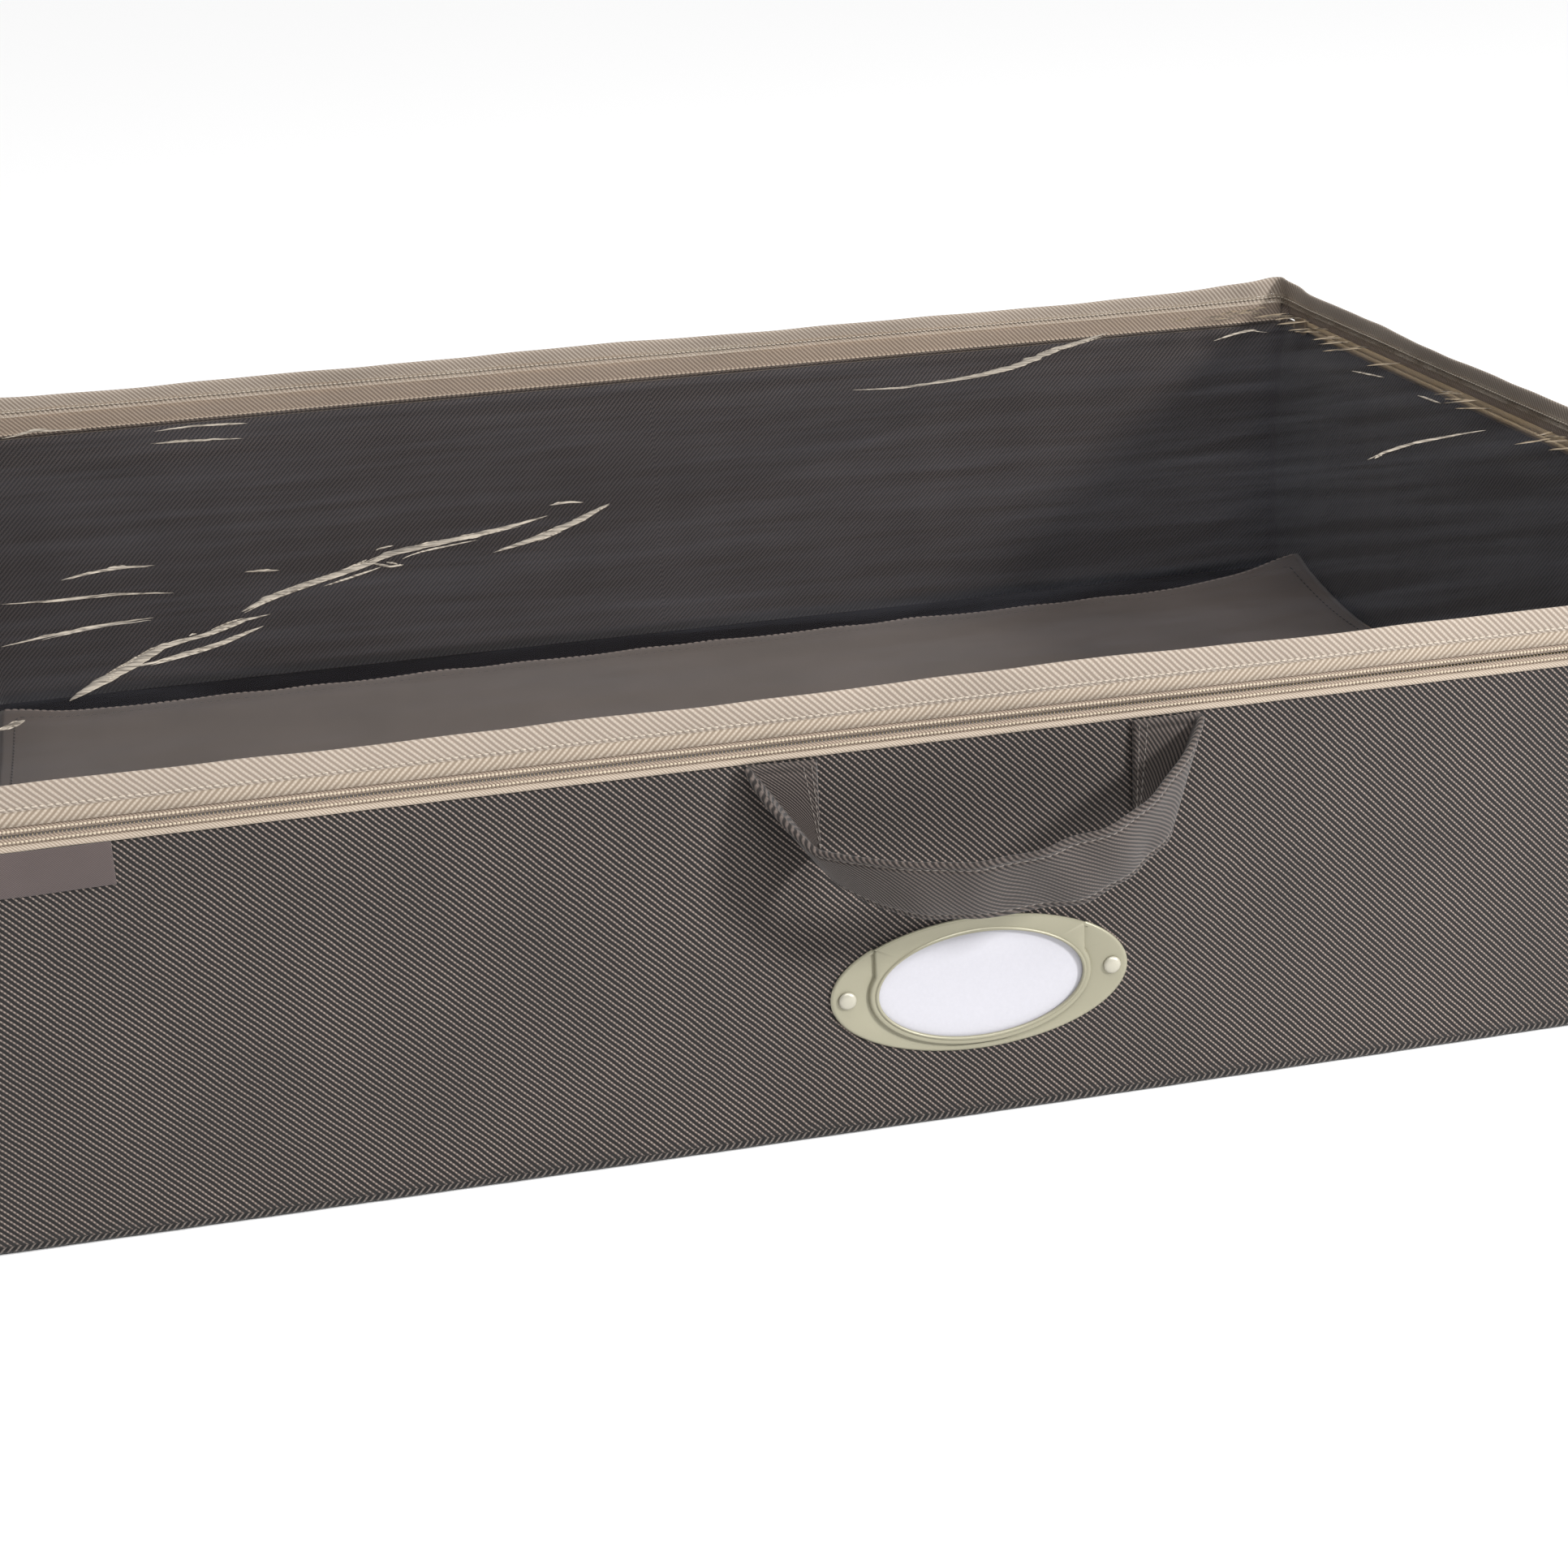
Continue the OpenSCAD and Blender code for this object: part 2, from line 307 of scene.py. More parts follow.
def linear(code):
    """A hex colour in linear light, with alpha."""
    parts = [int(code[i : i + 2], 16) / 255 for i in (1, 3, 5)]
    return [c / 12.92 if c <= 0.04045 else ((c + 0.055) / 1.055) ** 2.4 for c in parts] + [1.0]


def add(tree, kind, inputs=None, **settings):
    """A shader node. A value in inputs is a link if it is a socket, and a setting if it isn't."""
    made = tree.nodes.new("ShaderNode" + kind)
    for key, value in settings.items():
        setattr(made, key, value)
    for key, value in (inputs or {}).items():
        if isinstance(value, bpy.types.NodeSocket):
            tree.links.new(value, made.inputs[key])
        else:
            made.inputs[key].default_value = value
    return made


def new_material(name, **shader):
    """A material with a Principled shader whose own sockets are set by name."""
    made = bpy.data.materials.new(name)
    made.use_nodes = True
    body = made.node_tree.nodes["Principled BSDF"]
    for key, value in shader.items():
        body.inputs[key.replace("_", " ")].default_value = value
    return made, made.node_tree, body


def blend_colour(tree, factor, low, high):
    """A colour between two others, by a factor."""
    mix = add(tree, "Mix", {"Factor": factor, 6: low, 7: high}, data_type="RGBA")
    return mix.outputs[2]


# %% [markdown]
# ## Twill
#
# Twill is a diagonal weave: each thread floats over a few others, one step further on each row, so the eye
# sees slanted ribs made of small beads. Two sine waves on the flat cloth's own coordinates draw it: one
# across the ribs and one along them. The rib spacing is a real one, so the scale is right on every wall.

# %% Twill pattern


def twill(tree, ribs, beads, slope, cover, notch):
    """How far a spot stands out of the weave, from 0 to 1. ribs is the level distance between ribs, in mm."""
    cloth = add(tree, "UVMap", uv_map="Cloth").outputs[0]
    drift = add(tree, "TexNoise", {"Vector": cloth, "Scale": 120.0, "Detail": 2.0}).outputs["Fac"]
    flat = add(tree, "SeparateXYZ", {0: cloth})
    across = add(tree, "Math", {0: flat.outputs[1], 1: slope, 2: flat.outputs[0]}, operation="MULTIPLY_ADD")
    along = add(tree, "Math", {0: flat.outputs[1], 1: -slope, 2: flat.outputs[0]}, operation="MULTIPLY_ADD")
    loose = add(tree, "Math", {0: drift, 1: 0.9 * MM, 2: across.outputs[0]}, operation="MULTIPLY_ADD")
    turns = 2 * math.pi / MM
    rib = add(tree, "Math", {0: loose.outputs[0], 1: turns / ribs}, operation="MULTIPLY")
    bead = add(tree, "Math", {0: along.outputs[0], 1: turns / (beads * math.sqrt(2))}, operation="MULTIPLY")
    rib_wave = add(tree, "Math", {0: rib.outputs[0]}, operation="SINE")
    bead_wave = add(tree, "Math", {0: bead.outputs[0]}, operation="SINE")
    raised = add(tree, "MapRange", {0: rib_wave.outputs[0], 1: cover, 2: 0.9},
                 interpolation_type="SMOOTHSTEP")
    notched = add(tree, "MapRange", {0: bead_wave.outputs[0], 1: -1.0, 2: 1.0, 3: 1 - notch, 4: 1.0})
    return add(tree, "Math", {0: raised.outputs[0], 1: notched.outputs[0]}, operation="MULTIPLY").outputs[0]


def cloth_material(name, thread, gap, weaving, relief=0.25, mottle=0.12, cover=-0.75, notch=0.28, **shader):
    """Woven cloth: its threads and the gaps between them, with a slow change of shade over the piece."""
    shader = {"Roughness": 0.85, "Sheen_Weight": 0.15, "Sheen_Roughness": 0.5, **shader}
    made, tree, body = new_material(name, **shader)
    weave = twill(tree, *weaving, cover, notch)
    woven = blend_colour(tree, weave, linear(gap), linear(thread))
    place = add(tree, "TexCoord").outputs["Object"]
    cloud = add(tree, "TexNoise", {"Vector": place, "Scale": 22.0, "Detail": 4.0, "Roughness": 0.6})
    cloud = cloud.outputs["Fac"]
    shade = add(tree, "MapRange", {0: cloud, 1: 0.3, 2: 0.7, 3: 1 - mottle, 4: 1 + mottle}).outputs[0]
    tint = add(tree, "Mix", {"Factor": 1.0, 6: woven, 7: shade}, data_type="RGBA", blend_type="MULTIPLY")
    tree.links.new(tint.outputs[2], body.inputs["Base Color"])
    worn = add(tree, "MapRange", {0: weave, 1: 0.0, 2: 1.0, 3: 0.95, 4: 0.72}).outputs[0]
    tree.links.new(worn, body.inputs["Roughness"])
    bump = add(tree, "Bump", {"Strength": 0.7, "Distance": relief * MM, "Height": weave})
    tree.links.new(bump.outputs[0], body.inputs["Normal"])
    return made


# %% [markdown]
# ## The cloths
#
# The walls are polyester twill with a light thread over a dark ground, which gives a taupe that changes
# with the distance. The lining is the same cloth's inner face, darker. Zip tape is a tight beige weave
# whose ribs slant one way on its outer half and the other way on its inner half.

# %% Cloth materials
# Each weave is the distance between its ribs, the length of a bead, both in mm, and the way its ribs slant.
BODY_WEAVE, BODY_BACK = (2.29, 1.2, 1.0), (2.29, 1.2, -1.0)
FINE_WEAVE = (1.2, 0.6, 1.0)
TAPE_LOOK = {"relief": 0.15, "mottle": 0.05}
FINE_LOOK = {"relief": 0.08, "mottle": 0.05}
wall_twill = cloth_material("taupe_polyester_twill", "#8a7b72", "#0f0b0a", BODY_WEAVE, cover=0.15, notch=0.7)
strap_twill = cloth_material("taupe_strap_twill", "#584d47", "#1b1614", (1.9, 1.1, -1.0), relief=0.3)
lining_twill = cloth_material("dark_lining_twill", "#3b3434", "#141112", BODY_BACK, relief=0.2)
# The floor cloth is far darker than the lining: its colour is painted shade at the foot of the walls.
floor_twill_painted_shade = cloth_material("dark_floor_cloth", "#151213", "#0a0808", BODY_BACK, relief=0.2,
                             Specular_IOR_Level=0.05, Sheen_Weight=0.0)
tape_outer = cloth_material("beige_tape_twill", "#aa9e91", "#83766a", (2.3, 1.1, 1.0), **TAPE_LOOK)
tape_inner = cloth_material("beige_tape_herringbone", "#aa9d8e", "#807262", (2.23, 1.1, -1.0), **TAPE_LOOK)
tape_plain = cloth_material("beige_tape_edge", "#b0a394", "#8a7c6d", FINE_WEAVE, **FINE_LOOK)
# The groove tape is a darker copy of the edge tape: its colour is painted shade in the groove by the coil.
groove_tape_painted_shade = cloth_material("beige_tape_painted_shade_at_groove", "#9a8a7b", "#6d5e51", FINE_WEAVE, **FINE_LOOK)
insert_cloth = cloth_material("grey_brown_nonwoven", "#504845", "#3e3835", (1.1, 0.9, 1.0), relief=0.08,
                              mottle=0.14)
piping_cloth = cloth_material("dark_bias_binding", "#5f5650", "#090706", (2.2, 1.0, -1.0), relief=0.3,
                              cover=0.1)
tag_satin = cloth_material("plum_grey_woven_satin", "#524644", "#423836", (0.7, 0.7, 1.0), relief=0.05,
                           Sheen_Weight=0.3)
print("cloths:", [m.name for m in bpy.data.materials])

# %% [markdown]
# ## Thread, vinyl, metal, card and board
#
# Sewing thread is a smooth twisted yarn, so it shines a little. The lid's clear vinyl lets nearly all light
# through and mirrors a little of what it meets at a low angle, the same from both of its sides; a faint
# bluish haze and rubbed streaks keep it from being glass. The label plate is stamped steel with a satin
# green-gold plating. The card is plain white board, and the stiffeners are grey-brown chipboard with
# pressed fibres.

# %% Thread


def thread_material(name, colour):
    """Twisted polyester yarn, with fine slanting plies."""
    made, tree, body = new_material(name, Roughness=0.55, Sheen_Weight=0.2)
    place = add(tree, "TexCoord").outputs["Object"]
    plies = add(tree, "TexWave", {"Vector": place, "Scale": 420.0, "Distortion": 2.0},
                bands_direction="DIAGONAL")
    dark = [c * 0.72 for c in linear(colour)[:3]] + [1.0]
    tree.links.new(blend_colour(tree, plies.outputs["Fac"], dark, linear(colour)), body.inputs["Base Color"])
    bump = add(tree, "Bump", {"Strength": 0.4, "Distance": 0.05 * MM, "Height": plies.outputs["Fac"]})
    tree.links.new(bump.outputs[0], body.inputs["Normal"])
    return made


beige_thread = thread_material("beige_sewing_thread", "#b4a899")
coil_thread = thread_material("zip_coil_thread", "#bfb09a")
taupe_thread = thread_material("taupe_sewing_thread", "#7a716a")
dark_thread = thread_material("dark_sewing_thread", "#231f1e")
border_thread = thread_material("grey_overcast_thread", "#6d6460")
print("threads: beige, coil, taupe, dark, border")

# %% Clear vinyl


def vinyl_material(name, haze, haze_colour, mirror):
    """Clear film: light passes, a little is mirrored at low angles, and a haze shows where it is rubbed."""
    made, tree, body = new_material(name, Roughness=0.1, IOR=1.5, Base_Color=linear(haze_colour))
    place = add(tree, "TexCoord").outputs["Object"]
    slant = (0, 0, math.radians(28))
    pulled = add(tree, "Mapping", {"Vector": place, "Scale": (3.0, 14.0, 1.0), "Rotation": slant}).outputs[0]
    rubbed = add(tree, "TexNoise", {"Vector": pulled, "Scale": 3.0, "Detail": 6.0, "Roughness": 0.65})
    share = add(tree, "MapRange", {0: rubbed.outputs["Fac"], 1: 0.42, 2: 0.78, 3: haze * 0.35, 4: haze * 2.2})
    facing = add(tree, "LayerWeight", {"Blend": 0.5}).outputs["Facing"]
    glance = add(tree, "Math", {0: facing, 1: 5.0}, operation="POWER").outputs[0]
    seen = add(tree, "Math", {0: glance, 1: mirror, 2: share.outputs[0]}, operation="MULTIPLY_ADD").outputs[0]
    clear = add(tree, "BsdfTransparent", {"Color": linear("#fcfaf8")})
    mixed = add(tree, "MixShader", {0: seen, 1: clear.outputs[0], 2: body.outputs[0]})
    tree.links.new(mixed.outputs[0], tree.nodes["Material Output"].inputs["Surface"])
    return made


clear_vinyl = vinyl_material("clear_vinyl", 0.017, "#8b8f9e", 0.035)
edge_vinyl = vinyl_material("clear_vinyl_edge", 0.16, "#c4baab", 0.025)
print("vinyl:", clear_vinyl.name, edge_vinyl.name)

# %% Whitened creases with painted reflections


def crease_material(name, low, high):
    """Folded vinyl goes pale: fine beige strokes along the fold, partly whitening and partly painted
    reflection.
    """
    made, tree, body = new_material(name, Roughness=0.4, IOR=1.5)
    place = add(tree, "TexCoord").outputs["Object"]
    slant = (0, 0, math.radians(-38))
    along = add(tree, "Mapping", {"Vector": place, "Scale": (60, 420, 1), "Rotation": slant}).outputs[0]
    strokes = add(tree, "TexNoise", {"Vector": along, "Scale": 2.0, "Detail": 3.0}).outputs["Fac"]
    shade = add(tree, "MapRange", {0: strokes, 1: 0.35, 2: 0.6}).outputs[0]
    colour = blend_colour(tree, shade, linear(low), linear(high))
    tree.links.new(colour, body.inputs["Base Color"])
    bump = add(tree, "Bump", {"Strength": 0.5, "Distance": 0.2 * MM, "Height": strokes})
    tree.links.new(bump.outputs[0], body.inputs["Normal"])
    return made


# The pale crease colours are part whitened vinyl and part painted reflection; the darker copy is also painted
# shade.
creased_vinyl_painted_reflection = crease_material("creased_vinyl_painted_reflection", "#5c544b", "#ada395")
shaded_crease = crease_material("creased_vinyl_painted_reflection_in_shade", "#3b3329", "#83745f")
print("creases:", creased_vinyl_painted_reflection.name, shaded_crease.name)

# %% Plated metal, card and chipboard


def metal_material(name, colour, metallic, roughness, grit):
    """Plated or painted metal, with a fine grit that softens its shine."""
    made, tree, body = new_material(name, Metallic=metallic)
    place = add(tree, "TexCoord").outputs["Object"]
    fine = add(tree, "TexNoise", {"Vector": place, "Scale": 1 / (grit * MM), "Detail": 3.0}).outputs["Fac"]
    broad = add(tree, "TexNoise", {"Vector": place, "Scale": 60.0, "Detail": 3.0}).outputs["Fac"]
    dull = [c * 0.88 for c in linear(colour)[:3]] + [1.0]
    tree.links.new(blend_colour(tree, broad, dull, linear(colour)), body.inputs["Base Color"])
    rough = add(tree, "MapRange", {0: fine, 1: 0.3, 2: 0.7, 3: roughness - 0.06, 4: roughness + 0.08})
    tree.links.new(rough.outputs[0], body.inputs["Roughness"])
    bump = add(tree, "Bump", {"Strength": 0.15, "Distance": 0.03 * MM, "Height": fine})
    tree.links.new(bump.outputs[0], body.inputs["Normal"])
    return made


def fibre_material(name, colour, speck, scale, roughness):
    """Pressed paper fibre, with specks of a second shade."""
    made, tree, body = new_material(name, Roughness=roughness)
    place = add(tree, "TexCoord").outputs["Object"]
    fibres = add(tree, "TexNoise", {"Vector": place, "Scale": scale, "Detail": 8.0, "Roughness": 0.7})
    fibres = fibres.outputs["Fac"]
    patch = add(tree, "MapRange", {0: fibres, 1: 0.35, 2: 0.65}).outputs[0]
    tree.links.new(blend_colour(tree, patch, linear(speck), linear(colour)), body.inputs["Base Color"])
    bump = add(tree, "Bump", {"Strength": 0.2, "Distance": 0.05 * MM, "Height": fibres})
    tree.links.new(bump.outputs[0], body.inputs["Normal"])
    return made


plate_metal = metal_material("green_gold_plated_steel", "#989480", 0.3, 0.38, 0.6)
rivet_metal = metal_material("pale_plated_rivet", "#b5b1a2", 0.3, 0.36, 0.5)
zinc_paint = metal_material("painted_zinc_zip", "#8f8069", 0.4, 0.38, 0.5)
white_card = fibre_material("smooth_white_card", "#b9b8be", "#b5b4ba", 900.0, 0.6)
chipboard = fibre_material("grey_chipboard", "#8d7d6b", "#6f6152", 300.0, 0.9)
nylon_coil = metal_material("dyed_nylon_coil", "#cdbb9b", 0.0, 0.45, 0.8)
print("materials:", len(bpy.data.materials))

# %% [markdown]
# ## The wall cloth
#
# One strip of twill runs round all four sides. It is laid as a grid round the line, bulged a little at the
# foot of the front where the board bows, and given its thickness. A board holds the rest of it nearly flat.

# %% Wall cloth


def bow(s, z):
    """How far the cloth stands out of the flat wall, in millimetres."""
    front = np.clip((s - TURNS[1]) / (TURNS[2] - TURNS[1]), 0, 1)
    foot = np.clip(1 - z / 24, 0, 1) ** 2
    slack = ripple(s, (0.35, 310, 40), (0.25, 127, 90)) * np.sin(math.pi * np.clip(z / BAND_Z, 0, 1))
    return 2.6 * foot * np.sin(math.pi * front) + np.minimum(slack, 0)


def on_wall(s, z, depth):
    """A point of the wall, with the bow of its cloth."""
    flat, out = outline(s)
    return np.column_stack([flat + out * (bow(s, z) - depth)[:, None], z])


def strip(name, reach, step, profile, surface, materials):
    """Cloth laid along the line between two distances. A profile row is a height, a depth and a material."""
    rows = np.array([(*row, 0)[:3] for row in profile], float)
    walk = np.concatenate([[0], np.cumsum(np.hypot(*np.diff(rows[:, :2], axis=0).T))])
    along = max(2, round((reach[1] - reach[0]) / step))

    def place(u, v):
        s = reach[0] + u * (reach[1] - reach[0])
        z, depth, flat = (np.interp(v * (len(rows) - 1), range(len(rows)), f) for f in (*rows.T[:2], walk))
        return surface(s, z, depth), np.column_stack([s, rows[0, 0] + flat])

    piece = lay(name, along, len(rows) - 1, place, materials[0])
    for extra in materials[1:]:
        piece.data.materials.append(extra)
    piece.data.polygons.foreach_set("material_index", np.repeat(rows[:-1, 2].astype(int), along))
    return merge(piece)


def even_rows(low, high, count, depth):
    """Evenly spaced rows of a flat strip."""
    return [(z, depth) for z in np.linspace(low, high, count)]


ALL_ROUND = (0, GIRTH)
CLOTH_THICK, TAPE_THICK, SHEET_THICK = 0.8, 0.35, 0.3
wall_rows = even_rows(floor_low[2] + 1.0, 128, 26, 0)
wall_rows += [(BAND_Z - 0.7, 0.0), (BAND_Z - 0.15, 0.15), (BAND_Z, 0.6)]
wall = strip("wall_cloth", ALL_ROUND, 4, wall_rows, on_wall, [wall_twill])
thicken(wall, CLOTH_THICK)
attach(wall, "box")
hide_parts("front_cloth", "right_cloth", "back_cloth", "left_cloth", "corner_cloths")
print("wall cloth", len(wall.data.polygons), "faces")

# %% [markdown]
# ## The lining
#
# The lining hangs inside the boards. It is closest to the wall at the top, where it is caught in the zip
# seam, and bags slightly lower down, since nothing pulls it tight.

# %% Lining


def on_lining(s, z, depth):
    """A point of the lining, which sags inwards in slow, uneven folds."""
    flat, out = outline(s)
    free = np.sin(math.pi * np.clip((z - 4) / 122, 0, 1))
    folds = 0.8 + ripple(s, (0.7, 173, 20), (0.4, 71, 5), (0.25, 29, 0))
    return np.column_stack([flat - out * (depth + np.maximum(folds, 0) * free)[:, None], z])


lining_rows = [(LINING_TOP, 2.4), (128, 2.4), (124, 2.6), (120, 3.4), (117, 3.8)]
lining_rows += even_rows(111, floor_high[2] + 0.4, 18, 3.8)
lining = strip("wall_lining", ALL_ROUND, 5, lining_rows, on_lining, [lining_twill])
thicken(lining, CLOTH_THICK)
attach(lining, "box")
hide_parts("front_lining", "right_lining", "back_lining", "left_lining", "corner_linings")
print("lining", len(lining.data.polygons), "faces")

# %% [markdown]
# ## The floor cloth and the bound foot
#
# The cloth under the box is a flat sheet with the walls' rounded corners. Where it meets the walls a bias
# binding covers the raw edges: a soft dark roll, slightly lumpy, that shades the foot of every wall.

# %% Floor cloth and binding


def rounded(u, v, half_w, half_d, radius):
    """Spreads a unit grid over a rounded rectangle, with closer lines at its corners."""
    spread = np.array([0, 0.05, 0.95, 1])
    x = np.interp(u, spread, [-half_w, radius - half_w, half_w - radius, half_w])
    y = np.interp(v, spread, [-half_d, radius - half_d, half_d - radius, half_d])
    over = np.stack([np.abs(x) - (half_w - radius), np.abs(y) - (half_d - radius)])
    past = np.minimum(*over) > 0
    pull = np.where(past, np.maximum(*over) / np.maximum(np.hypot(*over), 1e-9), 1)
    x = np.where(past, np.sign(x) * (half_w - radius + over[0] * pull), x)
    y = np.where(past, np.sign(y) * (half_d - radius + over[1] * pull), y)
    return x, y


def floor_place(u, v):
    x, y = rounded(u, v, HALF_W, HALF_D, CORNER)
    return np.column_stack([x, y, np.full_like(x, floor_high[2])]), np.column_stack([x, y])


ground_cloth = lay("floor_cloth_sheet", 100, 80, floor_place, floor_twill_painted_shade)
thicken(ground_cloth, floor_high[2] - floor_low[2])
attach(ground_cloth, "box")
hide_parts("floor_cloth")


def binding(s, z, depth):
    """The roll of binding, which grows and shrinks a little along its way."""
    flat, out = outline(s)
    roll = depth * (1 + 0.12 * ripple(s, (1, 37, 0), (0.6, 13, 4)))
    return np.column_stack([flat + out * (bow(s, z) - roll)[:, None], z])


ROLL_Z, ROLL_R = 1.25, 0.95
roll_rows = [(ROLL_Z + ROLL_R * math.cos(a), 0.1 - ROLL_R * math.sin(a)) for a in np.linspace(math.pi, 0, 9)]
roll_rows = [(0.3, 0.8)] + roll_rows + [(2.2, 0.8)]
foot = strip("foot_binding", ALL_ROUND, 4, roll_rows, binding, [piping_cloth])
thicken(foot, SHEET_THICK)
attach(foot, "box")
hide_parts("bottom_piping")
print("floor and binding", len(ground_cloth.data.polygons) + len(foot.data.polygons), "faces")

# %% [markdown]
# ## Rows of stitches
#
# Stitches and coil knots are one small bead of thread, repeated by an Array and bent along its line by a
# Curve modifier. Both are applied, so each row becomes plain mesh.

# %% Stitch rows


def bead_row(name, line, pitch, size, material):
    """A row of thread beads along a line of points, in millimetres. size is length, depth and height."""
    line = np.asarray(line, float)
    length = np.linalg.norm(np.diff(line, axis=0), axis=1).sum()
    count = max(2, round(length / pitch))
    pitch = length / count
    curve = bpy.data.curves.new(name + "_line", "CURVE")
    curve.dimensions = "3D"
    curve.twist_mode = "Z_UP"
    track = curve.splines.new("POLY")
    track.points.add(len(line) - 1)
    track.points.foreach_set("co", np.column_stack([line * MM, np.ones(len(line))]).ravel())
    guide = bpy.data.objects.new(name + "_line", curve)
    bpy.context.collection.objects.link(guide)
    bpy.ops.object.select_all(action="DESELECT")
    bpy.ops.mesh.primitive_uv_sphere_add(segments=6, ring_count=4, radius=0.5)
    piece = bpy.context.object
    piece.name = piece.data.name = name
    move_points(piece, points_of(piece)[:, [2, 1, 0]] * MM * np.array(size) + [pitch / 2, 0, 0])
    apply(piece, "ARRAY", count=count, use_relative_offset=False, use_constant_offset=True,
          constant_offset_displace=(pitch * MM, 0, 0))
    apply(piece, "CURVE", object=guide)
    bpy.data.objects.remove(guide)
    piece.data.materials.append(material)
    bpy.ops.object.shade_smooth()
    return piece


def line_on(surface, reach, z, depth, step=6):
    """Points along a surface at one height and depth, close together at the corners."""
    bends = [np.linspace(turn, turn + ARC, 7) for turn in TURNS]
    s = np.sort(np.concatenate([np.arange(*reach, step), *bends, [reach[1]]]))
    s = s[(s >= reach[0]) & (s <= reach[1])]
    return surface(s, np.full_like(s, z), np.full_like(s, depth))


# %% [markdown]
# ## Zip tape round the walls
#
# The zip is sewn with its flat side out. Below the groove the wall's tape is folded over the cloth's top
# edge; above it the lid's tape stands up as a lip round the film. Stitches that hold the coil show as a
# row of fine knots either side of the groove, and the lip's top is a little wavy, as cloth is when only
# thread holds it up.

# %% Lip surface
ZIP_START = TURNS[0] + ARC
ZIP_STOP = TURNS[3]
print(f"zip {ZIP_STOP - ZIP_START:.0f} mm")


def lip_rise(s):
    """How far the lip's top stands above its even height, in millimetres."""
    wave = ripple(s, (0.35, 410, 60), (0.25, 158, 10), (0.12, 53, 0))
    pinch = 4.4 * np.where(s > BACK_RIGHT, near(s, BACK_RIGHT, 34), near(s, BACK_RIGHT, 20))
    small = 1.6 * near(s, BACK_LEFT, 24) + 0.9 * near(s, FRONT_LEFT, 14) + 0.9 * near(s, FRONT_RIGHT, 14)
    return wave + pinch + small


def on_tape(s, z, depth):
    """A point of the zip tape: it leans and rises with the lip above the film's seam."""
    flat, out = outline(s)
    share = np.clip((z - FILM_Z) / (TOP_Z - FILM_Z), 0, 1)
    lean = ripple(s, (0.5, 233, 30), (0.3, 96, 12), (0.12, 31, 0)) * share
    lean += 1.4 * share * near(s, BACK_RIGHT, 26) * np.sin((s - BACK_RIGHT) / 4.3)
    bumps = 0.06 * np.sin(s * 2 * math.pi / 4.62) * (1 - share)
    height = z + lip_rise(s) * share
    return np.column_stack([flat + out * (lean + bumps - depth)[:, None], height])


# %% Wall tape and lid tape
# Rows marked 1 here, and 2 on the lip, take the groove tape with its painted shade.
wall_tape_rows = [(121, 1.2), (130.4, 1.2), (131.2, 0.5), (131.5, -0.25), (131.9, -0.5), (132.5, -0.4)]
wall_tape_rows += [(132.9, -0.1), (133.2, 0.7, 1), (133.5, 0.8, 1), (133.8, 0.5, 1), (134.3, 0.35, 1)]
wall_tape_rows += [(134.9, 0.5, 1), (135.4, 0.9, 1), (135.6, 1.4, 1)]
lip_rows = [(136.3, 1.4, 2), (136.8, 0.8, 2), (137.7, 0.6, 2), (138.3, 0.8, 2), (138.6, 1.35, 2)]
lip_rows += [(138.8, 1.35, 2), (139.1, 0.7, 1), (141.0, 0.6, 1), (143.1, 0.7, 1), (143.5, 1.1), (143.9, 0.75)]
lip_rows += [(144.6, 0.85), (145.3, 0.65), (147, 0.55), (149, 0.55), (150.8, 0.6), (151.6, 0.75), (152, 1.15)]
lip_rows += [(151.7, 1.6), (151, 1.85), (149, 1.95), (147, 1.95), (145.4, 2.0), (144.6, 2.1), (143.8, 2.0)]

ZIP = (ZIP_START, ZIP_STOP)
wall_tape = strip("wall_zip_tape", ZIP, 4, wall_tape_rows, on_tape, [tape_plain, groove_tape_painted_shade])
thicken(wall_tape, TAPE_THICK)
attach(wall_tape, "box")
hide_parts("front_wall_tape", "right_wall_tape", "left_wall_tape")

lip = strip("lid_zip_tape", ZIP, 3, lip_rows, on_tape, [tape_outer, tape_inner, groove_tape_painted_shade])
thicken(lip, TAPE_THICK)
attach(lip, "lid")
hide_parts("front_lid_tape", "right_lid_tape", "left_lid_tape")
print("tapes", len(wall_tape.data.polygons) + len(lip.data.polygons), "faces")

# %% [markdown]
# ## The back tape
#
# At the back the same tape has no zip. It is the lid's hinge: one strip that bends where the groove would
# be, so it follows the box below that line and the lid above it.

# %% Back tape
BACK_FROM, BACK_TO = ZIP_STOP, ZIP_START + GIRTH
FACING_END = 6
back_rows = [(121, 1.2), (130.4, 1.2), (131.2, 0.5), (131.5, -0.25), (131.9, -0.5), (132.5, -0.35)]
back_rows += [(133.3, 0.4), (134.2, 0.65)] + [(z, 0.75) for z in (135, 135.5, 136, 136.5, 137)]
back_rows += [row[:2] for row in lip_rows[5:]]
back_tape = strip("back_hinge_tape", (BACK_FROM, BACK_TO), 3, back_rows, on_tape, [tape_outer])
thicken(back_tape, TAPE_THICK)
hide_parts("back_wall_tape", "back_lid_tape")
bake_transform(back_tape)

facing_rows = [(144.5, 2.45), (141, 2.6), (138, 2.6), (136.5, 2.55), (135.5, 2.5), (134.6, 2.55)]
facing_rows += [(133.2, 2.6)]
facing_reach = (BACK_FROM + FACING_END, BACK_TO - FACING_END)
facing = strip("back_facing", facing_reach, 3, facing_rows, on_tape, [tape_outer])
thicken(facing, SHEET_THICK)
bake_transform(facing)
print("back tape", len(back_tape.data.polygons), "faces")

# %% Knots, stitches and coil turns on the tapes
COIL_PITCH, STITCH = 1.23, 2.31
COIL_END = 16
TURN, KNOT = (0.54, 1.5, 3.3), (1.12, 0.7, 0.95)
wall_turns = (ZIP_START + COIL_END, ZIP_STOP - COIL_END)
